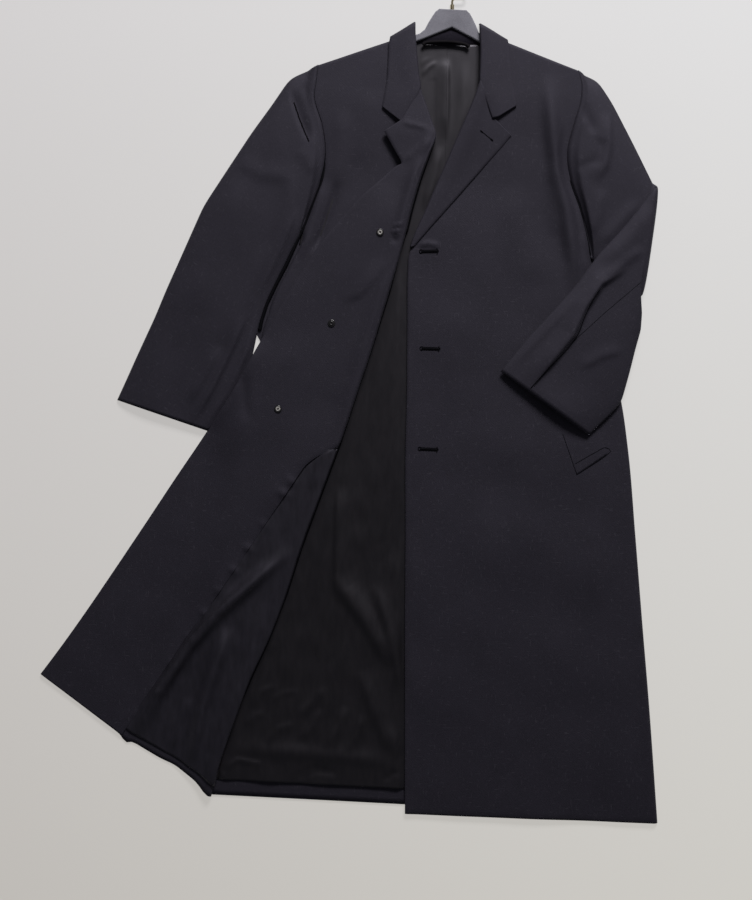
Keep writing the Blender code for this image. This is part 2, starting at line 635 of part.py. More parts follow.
def wire(name, route, diameter, height, finish, corner):
    """A round wire or tube along the route, each corner rounded by a short arc of points."""
    points = [Vector((x, y, height)) for x, y in route]
    smoothed = [points[0]]
    for before, here, after in zip(points, points[1:], points[2:]):
        start = here + (before - here).normalized() * corner
        end = here + (after - here).normalized() * corner
        for step in range(5):
            share = step / 4
            smoothed.append(start.lerp(here, share).lerp(here.lerp(end, share), share))
    smoothed.append(points[-1])
    curve = bpy.data.curves.new(name, "CURVE")
    curve.dimensions = "3D"
    curve.bevel_depth = diameter / 2
    curve.bevel_resolution = 2
    curve.use_fill_caps = True
    spline = curve.splines.new("POLY")
    spline.points.add(len(smoothed) - 1)
    for target, point in zip(spline.points, smoothed):
        target.co = (*point, 1.0)
    obj = bpy.data.objects.new(name, curve)
    bpy.context.scene.collection.objects.link(obj)
    curve.materials.append(material(name + "_finish", finish))
    return obj


def make_welt(name, centre, slant):
    """A pocket's welt: a slanting strip that lies on the front."""
    height = FRONT_Z + WOOL / 2 + GAP
    half_width = WELT_WIDTH / 2
    half_length = WELT_LENGTH / 2
    corners = ((-half_width, -half_length), (half_width, -half_length),
               (half_width, half_length), (-half_width, half_length))
    turn = Matrix.Rotation(slant, 2)
    outline = [turn @ Vector(corner) + Vector(centre) for corner in corners]
    return plate(name, outline, height, WELT_THICKNESS, "wool", 0.0005)


def make_hanger():
    turn = Matrix.Rotation(HANGER_TILT, 2)
    right = list(HANGER_HALF)
    left = [(-x, y) for x, y in reversed(HANGER_HALF)]
    outline = [turn @ Vector(point) + Vector(HANGER_TOP) for point in right + [HANGER_APEX] + left]
    return plate("hanger", outline, UNDER_Z, HANGER_THICKNESS, "velvet", HANGER_BEVEL)


def make_ferrule():
    """The short collar on the hanger's top edge that holds the hook."""
    mesh_builder = bmesh.new()
    bmesh.ops.create_cone(mesh_builder, cap_ends=True, segments=16, radius1=FERRULE_DIAMETER / 2,
                          radius2=FERRULE_DIAMETER / 2, depth=FERRULE_LENGTH)
    bmesh.ops.rotate(mesh_builder, verts=mesh_builder.verts, matrix=Matrix.Rotation(math.pi / 2, 3, "X"))
    start_y = HANGER_TOP[1] + GAP + 0.0003
    bmesh.ops.translate(mesh_builder, verts=mesh_builder.verts,
                        vec=(HOOK_ROUTE[0][0], start_y + FERRULE_LENGTH / 2, HANGER_Z))
    mesh = bpy.data.meshes.new("hook_ferrule")
    mesh_builder.to_mesh(mesh)
    mesh_builder.free()
    mesh.shade_smooth()
    mesh.set_sharp_from_angle(angle=math.radians(40))
    return add_object("hook_ferrule", mesh, "gold")


def build():
    clear_scene()
    halves = (("left", LEFT_BODY, LEFT_NECK_POINT), ("right", RIGHT_BODY, RIGHT_NECK_POINT))
    for side, body, neck_point in halves:
        make_back("back_" + side, body, neck_point, back_height, WOOL, "wool", 0.0, SIDE_INSET)
        make_back("back_lining_" + side, body, neck_point, back_lining_height, LINING, "satin",
                  LINING_HEM_RISE, SIDE_INSET)
    make_left_front()
    make_left_lapel()
    make_right_front_side()
    plan = open_front_rows()
    make_right_front(plan)
    make_right_facing(plan)
    make_right_front_lining(plan)
    make_collar_leaf("collar_left_leaf", LEFT_LEAF)
    make_collar_leaf("collar_right_leaf", RIGHT_LEAF)
    make_collar_back()
    make_sleeve("left_sleeve", armhole_of(LEFT_BODY), LEFT_SLEEVE, LEFT_SLEEVE_GAP)
    make_sleeve("right_sleeve", armhole_of(RIGHT_BODY), RIGHT_SLEEVE, -RIGHT_SLEEVE_GAP)
    make_welt("left_pocket_welt", LEFT_WELT_CENTRE, WELT_SLANT)
    make_welt("right_pocket_welt", RIGHT_WELT_CENTRE, -WELT_SLANT)
    for number, (x, y) in enumerate(BUTTONS, start=1):
        middle = open_front_height(x, y)
        under = middle - WOOL / 2 - 2 * GAP - BUTTON_THICKNESS
        disc("button_" + str(number), (x, y), under, BUTTON_DIAMETER, BUTTON_THICKNESS, "horn", 0.0008)
        above = facing_height(x, y) + WOOL / 2 + GAP
        disc("counter_button_" + str(number), (x, y), above, COUNTER_BUTTON_DIAMETER,
             COUNTER_BUTTON_THICKNESS, "horn", 0.0005)
    loop_height = BACK_LINING_Z + LINING / 2 + GAP + LOOP_DIAMETER / 2
    wire("hanging_loop", LOOP_ROUTE, LOOP_DIAMETER, loop_height, "wool", 0.006)
    make_hanger()
    make_ferrule()
    wire("hook", HOOK_ROUTE, HOOK_WIRE, HANGER_Z, "gold", 0.005)


build()
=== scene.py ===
import math

import bmesh
import bpy
import numpy as np
from mathutils import Matrix, Vector
from mathutils.bvhtree import BVHTree


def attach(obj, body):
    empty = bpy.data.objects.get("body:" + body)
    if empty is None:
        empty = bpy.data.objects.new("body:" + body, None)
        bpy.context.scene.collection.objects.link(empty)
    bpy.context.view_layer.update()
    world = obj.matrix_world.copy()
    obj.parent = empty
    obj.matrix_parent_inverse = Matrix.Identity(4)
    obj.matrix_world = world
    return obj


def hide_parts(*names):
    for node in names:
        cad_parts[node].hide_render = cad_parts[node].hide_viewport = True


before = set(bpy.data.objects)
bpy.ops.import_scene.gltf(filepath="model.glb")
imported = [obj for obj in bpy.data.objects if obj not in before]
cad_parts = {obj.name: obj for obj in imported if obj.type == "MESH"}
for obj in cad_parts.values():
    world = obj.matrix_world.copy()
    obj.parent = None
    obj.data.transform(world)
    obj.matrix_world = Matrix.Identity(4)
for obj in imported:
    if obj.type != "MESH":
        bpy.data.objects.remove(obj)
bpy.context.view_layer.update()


# the picture's pixel in metres, and the pixel over the frame's origin
picture = dict(pixel=0.00164, across=350.5, down=398.0)


def spot(across, down):
    # a place on the 752 x 900 picture, laid out on the surface
    return ((across - picture["across"]) * picture["pixel"],
            (picture["down"] - down) * picture["pixel"])


def spots(route):
    return [spot(*place) for place in route]


# thickness of each wall of cloth, and the height of each layer's middle
thick = dict(back=0.0016, wool=0.0018, turned=0.0017, flap=0.0019, lining=0.0008)
layer = dict(back=0.0010, backLining=0.0029, under=0.0038, front=0.0048, onWool=0.0024)
hangerRise = dict(height=0.0064, start=0.340, full=0.500)


def smooth(share):
    share = np.clip(share, 0.0, 1.0)
    return share * share * (3.0 - 2.0 * share)


def rounded(distance, reach):
    # a quarter round: 0 at the edge and 1 once its reach is walked
    return np.sqrt(np.clip(1 - (1 - np.clip(distance / reach, 0, 1)) ** 2, 0, 1))


def hangerLift(y):
    # the cloth over the hanger's shoulders lies higher
    slope = hangerRise["full"] - hangerRise["start"]
    return hangerRise["height"] * smooth((y - hangerRise["start"]) / slope)


def bySteps(table, place):
    # a value read from (place, value) pairs, eased between them
    places = np.array([row[0] for row in table], float)
    values = np.array([row[1] for row in table], float)
    order = np.argsort(places)
    places, values = places[order], values[order]
    index = np.clip(np.searchsorted(places, place) - 1, 0, len(places) - 2)
    share = smooth((place - places[index]) / (places[index + 1] - places[index]))
    return values[index] + (values[index + 1] - values[index]) * share


# creases: a route in picture places, reach to its left and to its right in metres, and height
def onRoute(route, x, y):
    # distance from the route, share of its length, and which side (+1 is the left)
    points = [Vector(place) for place in spots(route)]
    lengths = [(b - a).length for a, b in zip(points, points[1:])]
    total = sum(lengths)
    best = np.full(x.shape, 9.0)
    along = np.zeros(x.shape)
    side = np.ones(x.shape)
    done = 0.0
    for a, b, length in zip(points, points[1:], lengths):
        runX, runY = (b.x - a.x) / length, (b.y - a.y) / length
        ahead = (x - a.x) * runX + (y - a.y) * runY
        kept = np.clip(ahead, 0.0, length)
        offX, offY = x - a.x - kept * runX, y - a.y - kept * runY
        distance = np.hypot(offX, offY)
        closer = distance < best
        best = np.where(closer, distance, best)
        along = np.where(closer, (done + kept) / total, along)
        turned = runX * (y - a.y) - runY * (x - a.x)
        side = np.where(closer, np.where(turned >= 0, 1.0, -1.0), side)
        done += length
    return best, along, side


def creaseHeight(x, y, creases, ends=0.28):
    total = np.zeros(x.shape)
    for route, left, right, height in creases:
        away, along, side = onRoute(route, x, y)
        fade = smooth(np.minimum(along, 1.0 - along) / ends) ** 0.8
        total += height * fade * np.exp(-((away / np.where(side > 0, left, right)) ** 2))
    return total


def drift(x, y, seed, size, height, turn=0.0, stretch=1.0):
    # gentle unevenness of lying cloth: a seeded sum of long waves
    draw = np.random.default_rng(seed)
    total = np.zeros(x.shape)
    alongX, alongY = math.cos(turn), math.sin(turn)
    u = (x * alongX + y * alongY) / stretch
    v = -x * alongY + y * alongX
    for _ in range(9):
        angle = draw.uniform(0, 2 * math.pi)
        wave = 2 * math.pi / (size * draw.uniform(0.7, 1.6))
        total += np.sin(wave * (u * math.cos(angle) + v * math.sin(angle)) + draw.uniform(0, 6.28))
    return height * total / 4.0


# grids of cloth
def smoothRows(table, step):
    # rows of plan points, passed through smoothly and about one step apart
    rows = np.array(table, float)
    gaps = np.linalg.norm(np.diff(rows, axis=0), axis=2).max(axis=1)
    places = np.concatenate([[0.0], np.cumsum(gaps)])
    slopes = np.zeros_like(rows)
    inner = np.diff(rows, axis=0) / gaps[:, None, None]
    slopes[0], slopes[-1] = inner[0], inner[-1]
    before, after = gaps[:-1, None, None], gaps[1:, None, None]
    slopes[1:-1] = (inner[:-1] * after + inner[1:] * before) / (before + after)
    count = max(2, int(round(places[-1] / step)) + 1)
    wanted = np.linspace(0.0, places[-1], count)
    index = np.clip(np.searchsorted(places, wanted, side="right") - 1, 0, len(gaps) - 1)
    width = gaps[index][:, None, None]
    t = ((wanted - places[index])[:, None, None]) / width
    a, b = rows[index], rows[index + 1]
    ta, tb = slopes[index] * width, slopes[index + 1] * width
    return ((2 * t**3 - 3 * t**2 + 1) * a + (t**3 - 2 * t**2 + t) * ta
            + (-2 * t**3 + 3 * t**2) * b + (t**3 - t**2) * tb)


def alongRow(row, distances):
    lengths = np.linalg.norm(np.diff(row, axis=0), axis=1)
    places = np.concatenate([[0.0], np.cumsum(lengths)])
    return np.stack([np.interp(distances, places, row[:, k]) for k in range(row.shape[1])], axis=1)


def rowLength(row):
    return float(np.linalg.norm(np.diff(row, axis=0), axis=1).sum())


def edgeSteps(length, columns, startEdge, endEdge):
    # distances along a row: close together near the edges, even between them
    near = np.array([0.0, 0.0004, 0.0011, 0.0022, 0.0038, 0.0060])
    start = near if startEdge else np.array([0.0])
    end = near[::-1] if endEdge else np.array([0.0])
    first, last = start[-1], length - end[0]
    middle = np.linspace(first, last, columns + 1)
    return np.concatenate([start[:-1], middle, length - end[1:]])


def planGrid(table, rowStep, columns, startEdge=False, endEdge=False):
    rows = smoothRows(table, rowStep)
    nearLast = [rows[-2] + (rows[-1] - rows[-2]) * share for share in (0.35, 0.62, 0.82, 0.94)]
    rows = np.concatenate([rows[:-1], nearLast, rows[-1:]])
    points, steps = [], []
    for row in rows:
        length = rowLength(row)
        distances = edgeSteps(length, columns, startEdge, endEdge)
        points.append(alongRow(row, distances))
        steps.append(distances)
    points = np.array(points)
    return points[..., 0], points[..., 1], np.array(steps)


def nudge(x, y, nudges):
    # small pulls of the plan: place, reach, shift, all in picture places
    for (u, v), reach, (du, dv) in nudges:
        px, py = spot(u, v)
        pull = np.exp(-((np.hypot(x - px, y - py) / (reach * picture["pixel"])) ** 2))
        x, y = x + du * picture["pixel"] * pull, y - dv * picture["pixel"] * pull
    return x, y


def sheetMesh(node, x, y, z, thickness, finish, offset=0.0, closed=False):
    # a grid moved to its places and thickened, in place of the part's node
    name = "coat_" + node
    rows, columns = x.shape
    build = bmesh.new()
    bmesh.ops.create_grid(build, x_segments=columns - 1, y_segments=rows - 1, size=1.0)
    build.verts.ensure_lookup_table()
    flat = np.stack([x, y, z], axis=-1).reshape(-1, 3)
    for vertex, place in zip(build.verts, flat):
        vertex.co = place
    if closed:
        bmesh.ops.remove_doubles(build, verts=build.verts, dist=1e-6)
        bmesh.ops.recalc_face_normals(build, faces=build.faces)
    else:
        build.normal_update()
        if sum(face.normal.z for face in build.faces) < 0:
            bmesh.ops.reverse_faces(build, faces=build.faces)
    for face in build.faces:
        face.smooth = True
    mesh = bpy.data.meshes.new(name)
    build.to_mesh(mesh)
    build.free()
    piece = bpy.data.objects.new(name, mesh)
    bpy.context.scene.collection.objects.link(piece)
    mesh.materials.append(finish)
    wall = piece.modifiers.new("wall", "SOLIDIFY")
    wall.thickness = thickness
    wall.offset = offset
    wall.use_rim = True
    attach(piece, "root")
    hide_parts(node)
    return piece


# materials
def nodeMaker(material):
    tree = material.node_tree

    def make(kind, **settings):
        node = tree.nodes.new(kind)
        for key, value in settings.items():
            if key.startswith("in_"):
                wanted = key[3:]
                socket = node.inputs[int(wanted) if wanted.isdigit() else wanted.replace("_", " ")]
                if hasattr(value, "node"):
                    tree.links.new(value, socket)
                else:
                    socket.default_value = value
            else:
                setattr(node, key, value)
        return node
    return make


def newFinish(name):
    material = bpy.data.materials.new(name)
    material.use_nodes = True
    shader = material.node_tree.nodes["Principled BSDF"]
    return material, shader, nodeMaker(material), material.node_tree.links


def rampOf(make, factor, low, high):
    # a colour ramp between two ends, each a position and a colour
    ramp = make("ShaderNodeValToRGB", in_Fac=factor)
    for element, (position, colour) in zip(list(ramp.color_ramp.elements), (low, high)):
        element.position, element.color = position, colour
    return ramp.outputs[0]


def rangeOf(make, value, start, end, low=0.0, high=1.0):
    # the stretch from start to end, mapped to low and high
    node = make("ShaderNodeMapRange", in_Value=value, in_From_Min=start, in_From_Max=end, in_To_Min=low,
                in_To_Max=high)
    return node.outputs[0]


def settle(shader, **values):
    for key, value in values.items():
        shader.inputs[key.replace("_", " ")].default_value = value


woolLook = dict(dark=(0.0036, 0.0030, 0.0048, 1), light=(0.0150, 0.0130, 0.0195, 1), toneRange=(0.50, 1.0),
                thread=250.0, threadWave=2.5, threadShare=0.35, fleck=620.0, cloud=24.0, cloudShare=0.35,
                slub=(0.040, 0.037, 0.047, 1), slubLength=95.0, slubWidth=560.0, slubDepth=40.0,
                slubRange=(0.66, 0.78), slubShare=0.55, roughness=0.74, sheen=0.03, sheenRoughness=0.45,
                sheenTint=(0.75, 0.74, 0.86, 1), specular=0.47, bump=0.50, relief=0.0004,
                tint=(0.84, 0.80, 1.0, 1))


def woolFinish(name, look, turn=0.0):
    # flecked twill with soft clouds, slubs and a short nap
    material, shader, make, links = newFinish(name)
    place = make("ShaderNodeTexCoord").outputs["Object"]
    turned = make("ShaderNodeMapping", in_Vector=place, in_Rotation=(0, 0, turn)).outputs[0]
    fleck = make("ShaderNodeTexNoise", in_Vector=turned, in_Scale=look["fleck"], in_Detail=3.0,
                 in_Roughness=0.6)
    twill = make("ShaderNodeTexWave", wave_type="BANDS", bands_direction="DIAGONAL", in_Vector=turned,
                 in_Scale=look["thread"], in_Distortion=look["threadWave"], in_Detail=2.0)
    cloud = make("ShaderNodeTexNoise", in_Vector=place, in_Scale=look["cloud"], in_Detail=4.0)
    mixed = make("ShaderNodeMath", operation="MULTIPLY_ADD", in_0=twill.outputs["Fac"],
                 in_1=look["threadShare"], in_2=fleck.outputs["Fac"])
    toned = make("ShaderNodeMath", operation="MULTIPLY_ADD", in_0=cloud.outputs["Fac"],
                 in_1=look["cloudShare"], in_2=mixed.outputs[0])
    low, high = look["toneRange"]
    colour = rampOf(make, toned.outputs[0], (low, look["dark"]), (high, look["light"]))
    # slubs: short paler threads of the weave, along and across the cloth
    slubs = []
    long, thin, deep = look["slubLength"], look["slubWidth"], look["slubDepth"]
    for number, scale in enumerate(((long, thin, deep), (thin, long, deep))):
        drawn = make("ShaderNodeMapping", in_Vector=turned, in_Scale=scale,
                     in_Location=(3.1 * number, 1.7, 0.4))
        noise = make("ShaderNodeTexNoise", in_Vector=drawn.outputs[0], in_Scale=1.0, in_Detail=1.0)
        slubs.append(rangeOf(make, noise.outputs["Fac"], *look["slubRange"]))
    either = make("ShaderNodeMath", operation="MAXIMUM", in_0=slubs[0], in_1=slubs[1])
    amount = make("ShaderNodeMath", operation="MULTIPLY", in_0=either.outputs[0], in_1=look["slubShare"])
    coloured = make("ShaderNodeMix", data_type="RGBA", in_Factor=amount.outputs[0], in_6=colour,
                    in_7=look["slub"])
    links.new(coloured.outputs[2], shader.inputs["Base Color"])
    bump = make("ShaderNodeBump", in_Strength=look["bump"], in_Distance=look["relief"],
                in_Height=mixed.outputs[0])
    links.new(bump.outputs[0], shader.inputs["Normal"])
    settle(shader, Roughness=look["roughness"], Sheen_Weight=look["sheen"], Sheen_Tint=look["sheenTint"],
           Sheen_Roughness=look["sheenRoughness"], Specular_IOR_Level=look["specular"],
           Specular_Tint=look["tint"])
    return material


satinLook = dict(dark=(0.0030, 0.0024, 0.0030, 1), light=(0.0070, 0.0058, 0.0068, 1), toneRange=(0.45, 0.95),
                 streak=120.0, stretch=0.30, grain=900.0, grainShare=0.35, roughness=0.44,
                 smoother=0.01, rougher=0.015, specular=0.58, bump=0.015, relief=0.0003,
                 tint=(0.89, 0.85, 0.97, 1))


def satinFinish(name, look, turn=0.0):
    # a smooth weave, its gloss drawn out along the threads
    material, shader, make, links = newFinish(name)
    place = make("ShaderNodeTexCoord").outputs["Object"]
    drawn = make("ShaderNodeMapping", in_Vector=place, in_Rotation=(0, 0, turn),
                 in_Scale=(1.0, look["stretch"], 1.0))
    streak = make("ShaderNodeTexNoise", in_Vector=drawn.outputs[0], in_Scale=look["streak"], in_Detail=3.0)
    grain = make("ShaderNodeTexNoise", in_Vector=place, in_Scale=look["grain"], in_Detail=2.0)
    mixed = make("ShaderNodeMath", operation="MULTIPLY_ADD", in_0=grain.outputs["Fac"],
                 in_1=look["grainShare"], in_2=streak.outputs["Fac"])
    low, high = look["toneRange"]
    colour = rampOf(make, mixed.outputs[0], (low, look["dark"]), (high, look["light"]))
    links.new(colour, shader.inputs["Base Color"])
    worn = rangeOf(make, streak.outputs["Fac"], 0.3, 0.7, look["roughness"] - look["smoother"],
                   look["roughness"] + look["rougher"])
    links.new(worn, shader.inputs["Roughness"])
    bump = make("ShaderNodeBump", in_Strength=look["bump"], in_Distance=look["relief"],
                in_Height=mixed.outputs[0])
    links.new(bump.outputs[0], shader.inputs["Normal"])
    settle(shader, Specular_IOR_Level=look["specular"], Specular_Tint=look["tint"])
    return material


wool = woolFinish("coat wool", woolLook)
sleeveWool = woolFinish("sleeve wool", woolLook, 0.6)
# painted shade: a copy of the coat's wool with less gloss, so that the collar stand reads darker under the
# hanger
standWoolPaintedShade = woolFinish("collar stand wool with painted shade", dict(woolLook, roughness=0.85, specular=0.12))
satin = satinFinish("lining satin", satinLook)
openLook = dict(satinLook, dark=(0.0036, 0.0030, 0.0046, 1), light=(0.0110, 0.0095, 0.0140, 1),
                roughness=0.52, specular=0.62, tint=(0.86, 0.82, 1.0, 1))
openSatin = satinFinish("turned lining satin", openLook, -0.45)
loopSatin = satinFinish("loop satin", dict(satinLook, roughness=0.80, specular=0.12))


# the body's plan, hem first: side edge, front edge or fold, centre back, and 1 where the side turns down
leftBody = (
    ((0.501, -0.695), (0.089, -0.679), (0.137, -0.667), 1),
    ((0.486, -0.485), (0.089, -0.480), (0.139, -0.475), 1),
    ((0.477, -0.377), (0.089, -0.372), (0.141, -0.370), 1),
    ((0.465, -0.226), (0.090, -0.222), (0.143, -0.220), 1),
    ((0.453, -0.085), (0.090, -0.085), (0.145, -0.085), 1),
    ((0.442, -0.007), (0.092, -0.006), (0.146, -0.005), 1),
    ((0.409, 0.112), (0.093, 0.114), (0.148, 0.114), 1),
    ((0.394, 0.210), (0.094, 0.212), (0.150, 0.214), 1),
    ((0.3915, 0.226), (0.095, 0.229), (0.150, 0.232), 0),
    ((0.390, 0.247), (0.102, 0.250), (0.151, 0.253), 0),
    ((0.376, 0.306), (0.126, 0.308), (0.152, 0.310), 0),
    ((0.358, 0.358), (0.148, 0.359), (0.153, 0.360), 0),
    ((0.353, 0.400), (0.166, 0.400), (0.154, 0.400), 0),
    ((0.362, 0.440), (0.183, 0.440), (0.155, 0.440), 0),
    ((0.374, 0.481), (0.201, 0.481), (0.156, 0.478), 0),
    ((0.376, 0.503), (0.212, 0.508), (0.157, 0.508), 0),
    ((0.3735, 0.520), (0.225, 0.552), (0.157, 0.540), 0),
    ((0.3700, 0.5325), (0.246, 0.582), (0.158, 0.575), 0),
)
rightBody = (
    ((-0.226, -0.648), (-0.216, -0.648), (0.136, -0.667), 1),
    ((-0.2098, -0.500), (-0.181, -0.500), (0.138, -0.510), 1),
    ((-0.2049, -0.454), (-0.163, -0.454), (0.139, -0.460), 1),
    ((-0.1902, -0.318), (-0.106, -0.318), (0.141, -0.320), 1),
    ((-0.1729, -0.157), (-0.050, -0.157), (0.144, -0.160), 1),
    ((-0.1543, 0.016), (0.011, 0.016), (0.147, 0.010), 1),
    ((-0.1477, 0.079), (0.032, 0.079), (0.148, 0.072), 1),
    ((-0.1418, 0.120), (0.044, 0.120), (0.148, 0.112), 1),
    ((-0.1295, 0.162), (0.057, 0.162), (0.149, 0.153), 1),
    ((-0.1010, 0.219), (0.074, 0.219), (0.150, 0.210), 1),
    ((-0.0812, 0.262), (0.086, 0.262), (0.150, 0.255), 1),
    ((-0.080, 0.274), (0.089, 0.274), (0.150, 0.268), 0),
    ((-0.071, 0.295), (0.095, 0.297), (0.151, 0.290), 0),
    ((-0.054, 0.336), (0.106, 0.337), (0.152, 0.330), 0),
    ((-0.043, 0.371), (0.116, 0.371), (0.153, 0.366), 0),
    ((-0.040, 0.397), (0.127, 0.398), (0.154, 0.395), 0),
    ((-0.045, 0.443), (0.131, 0.445), (0.155, 0.442), 0),
    ((-0.057, 0.482), (0.120, 0.482), (0.156, 0.482), 0),
    ((-0.055, 0.513), (0.106, 0.535), (0.157, 0.530), 0),
    ((-0.0515, 0.5415), (0.074, 0.584), (0.158, 0.575), 0),
)
leftNeck, rightNeck = (0.246, 0.582), (0.074, 0.585)
backSeam = ((0.137, -0.667), (0.158, 0.575))


def centreBack(y):
    (lowX, lowY), (highX, highY) = backSeam
    return lowX + (y - lowY) / (highY - lowY) * (highX - lowX)


def halfWay(a, b):
    return ((a[0] + b[0]) / 2, (a[1] + b[1]) / 2)


def armLine(body):
    # the armhole from the shoulder down to the underarm, as the body's own edge has it
    edge = smoothRows(bodyTable(body, 1), 0.004)[:, 0]
    start = min(row[0][1] for row in body if not row[3])
    return edge[edge[:, 1] > start - 0.001][::-1]


def bodyTable(body, column):
    # side, half way, and the front (1) or the centre back (2)
    return [(row[0], halfWay(row[0], row[column]), row[column]) for row in body]


def backRows(body, neck):
    # side, half way and centre back, the last row through the neck's end
    return [(row[0], neck if row is body[-1] else halfWay(row[0], row[2]), row[2]) for row in body]


# the wool back, on the surface
backSet = dict(step=0.010, columns=26, seam=0.0003, height=0.0002)
# how far the back reaches beyond the body's side edge, by height: it shows under the arms and at the hem
backReach = dict(
    left=((-0.70, -0.005), (0.13, -0.005), (0.18, 0.014), (0.235, 0.016), (0.27, -0.001),
          (0.60, -0.001)),
    right=((-0.70, 0.012), (-0.60, 0.002), (0.085, -0.001), (0.112, 0.012), (0.250, 0.014), (0.30, -0.001),
           (0.60, -0.001)),
)


def makeBack(side, body, neck):
    grid = smoothRows(backRows(body, neck), backSet["step"])
    toSide = 1 if side == "left" else -1
    points = []
    for row in grid:
        row = row.copy()
        row[-1, 0] = centreBack(row[-1, 1]) + toSide * backSet["seam"]
        row[0, 0] += toSide * float(bySteps(backReach[side], row[0, 1]))
        points.append(alongRow(row, edgeSteps(rowLength(row), backSet["columns"], True, False)))
    points = np.array(points)
    x, y = points[..., 0], points[..., 1]
    z = np.full(x.shape, layer["back"]) + backSet["height"]
    return sheetMesh("back_" + side, x, y, z, thick["back"], wool)


backLeft = makeBack("left", leftBody, leftNeck)
backRight = makeBack("right", rightBody, rightNeck)
print("back laid")

# the back's lining, seen in the open wedge and the neck
hingeRoute = ((433, 140), (418.7, 180), (405, 233), (397, 257), (388, 292), (370.7, 348), (357, 388),
              (338, 446), (320, 494), (300, 548), (286, 592), (268, 638), (251, 675), (217, 757), (213, 795))
hinge = spots(hingeRoute)
frontEdgeX = 0.089
backLiningCreases = (
    (((337, 604), (336, 548), (338, 484)), 0.0032, 0.018, 0.0034),
    (((392, 668), (366, 622), (343, 590), (334, 572)), 0.0095, 0.020, 0.0074),
    (((405, 706), (398, 668), (390, 632), (374, 582)), 0.0075, 0.014, 0.0058),
    (((398, 758), (386, 736), (372, 706), (360, 668)), 0.0090, 0.016, 0.0050),
    (((296, 716), (314, 700), (326, 684)), 0.006, 0.0085, 0.0020),
    (((300, 740), (312, 724), (322, 706)), 0.006, 0.0085, 0.0026),
    (((324, 748), (336, 728), (346, 704)), 0.007, 0.0095, 0.0030),
    (((346, 752), (356, 734), (364, 712)), 0.006, 0.0085, 0.0024),
    (((266, 742), (278, 728), (296, 722)), 0.006, 0.0075, 0.0018),
    (((250, 706), (262, 690), (278, 684)), 0.005, 0.0070, 0.0014),
    (((258, 668), (264, 650), (276, 640)), 0.005, 0.0070, 0.0014),
    (((272, 700), (284, 692), (300, 690)), 0.005, 0.0060, 0.0010),
    (((244, 724), (256, 714), (266, 712)), 0.006, 0.0070, 0.0014),
    (((402, 764), (352, 756), (300, 752), (250, 748), (222, 746)), 0.0105, 0.0150, 0.0036),
    (((222, 770), (238, 758), (258, 762), (252, 772)), 0.0045, 0.0045, 0.0026),
    (((296, 776), (316, 768), (340, 772)), 0.0060, 0.0060, -0.0026),
    (((384, 780), (392, 772), (400, 770)), 0.0050, 0.0050, -0.0018),
    (((214, 767), (219, 772), (226, 774)), 0.004, 0.004, 0.0046),
)
backLiningSet = dict(hemRise=0.026, inset=0.008, armholeInset=0.0004, armhole=0.25,
                     seam=dict(left=0.00005, right=-0.0003), step=dict(left=0.007, right=0.0034),
                     columns=dict(left=60, right=100), loft=0.0018, hollow=0.0014)
neckRidges = (
    (((446, 142), (447, 100), (447, 54)), 0.015, 0.0040, 0.0022),
    (((424, 214), (434, 178), (441, 146)), 0.010, 0.006, 0.0016),
    (((464, 60), (462, 110), (452, 170)), 0.012, 0.008, 0.0012),
    (((417, 68), (424, 61), (434, 54)), 0.0030, 0.0050, 0.0010),
    (((420, 78), (428, 69), (437, 62)), 0.0030, 0.0040, 0.0008),
    (((404, 238), (409, 232), (415, 227)), 0.0040, 0.0030, 0.0012),
)


def neckCreases(x, y):
    # the lining hangs in soft upright folds below the neck, where nothing lies on it
    clear = smooth((x - 0.112) / 0.012) * smooth((0.205 - x) / 0.012)
    lapelX = 0.101 + (y - 0.25) * 0.430
    hingeX = np.interp(y, [p[1] for p in hinge[:4]][::-1], [p[0] for p in hinge[:4]][::-1])
    between = smooth((lapelX - x + 0.004) / 0.010) * smooth((x - hingeX + 0.002) / 0.010)
    clear = clear * np.where(y < 0.52, between, 1)
    return clear * creaseHeight(x, y, neckRidges) * smooth((0.560 - y) / 0.02)


def makeBackLining(side, body, neck):
    rows = backRows(body, neck)
    rows[0] = [(x, y + backLiningSet["hemRise"]) for x, y in rows[0]]
    grid = smoothRows(rows, backLiningSet["step"][side])
    toSide = 1 if side == "left" else -1
    points = []
    for row in grid:
        row = row.copy()
        row[-1, 0] = centreBack(row[-1, 1]) + toSide * backLiningSet["seam"][side]
        length = rowLength(row)
        low = row[0, 1] < backLiningSet["armhole"]
        start = backLiningSet["inset" if low else "armholeInset"]
        distances = edgeSteps(length - start, backLiningSet["columns"][side], False, True)
        points.append(alongRow(row, start + distances))
    points = np.array(points)
    x, y = points[..., 0], points[..., 1]
    hingeX = np.interp(-y, [-p[1] for p in hinge], [p[0] for p in hinge])
    room = smooth((x - hingeX - 0.004) / 0.020) * smooth((frontEdgeX - 0.001 - x) / 0.012)
    room = np.where(y > 0.25, 0.0, room)
    lower = smooth((0.10 - y) / 0.35)
    wrinkles = creaseHeight(x, y, backLiningCreases)
    wrinkles += lower * (drift(x, y, 5, 0.090, 0.0010, 0.9, 2.0) + drift(x, y, 8, 0.034, 0.00035, 2.2, 1.8))
    z = layer["backLining"] + room * (backLiningSet["loft"] + np.maximum(wrinkles, -backLiningSet["hollow"]))
    z = z + neckCreases(x, y) * smooth((y - 0.22) / 0.06)
    return sheetMesh("back_lining_" + side, x, y, z, thick["lining"], satin)


backLiningLeft = makeBackLining("left", leftBody, leftNeck)
backLiningRight = makeBackLining("right", rightBody, rightNeck)
print("back lining laid")

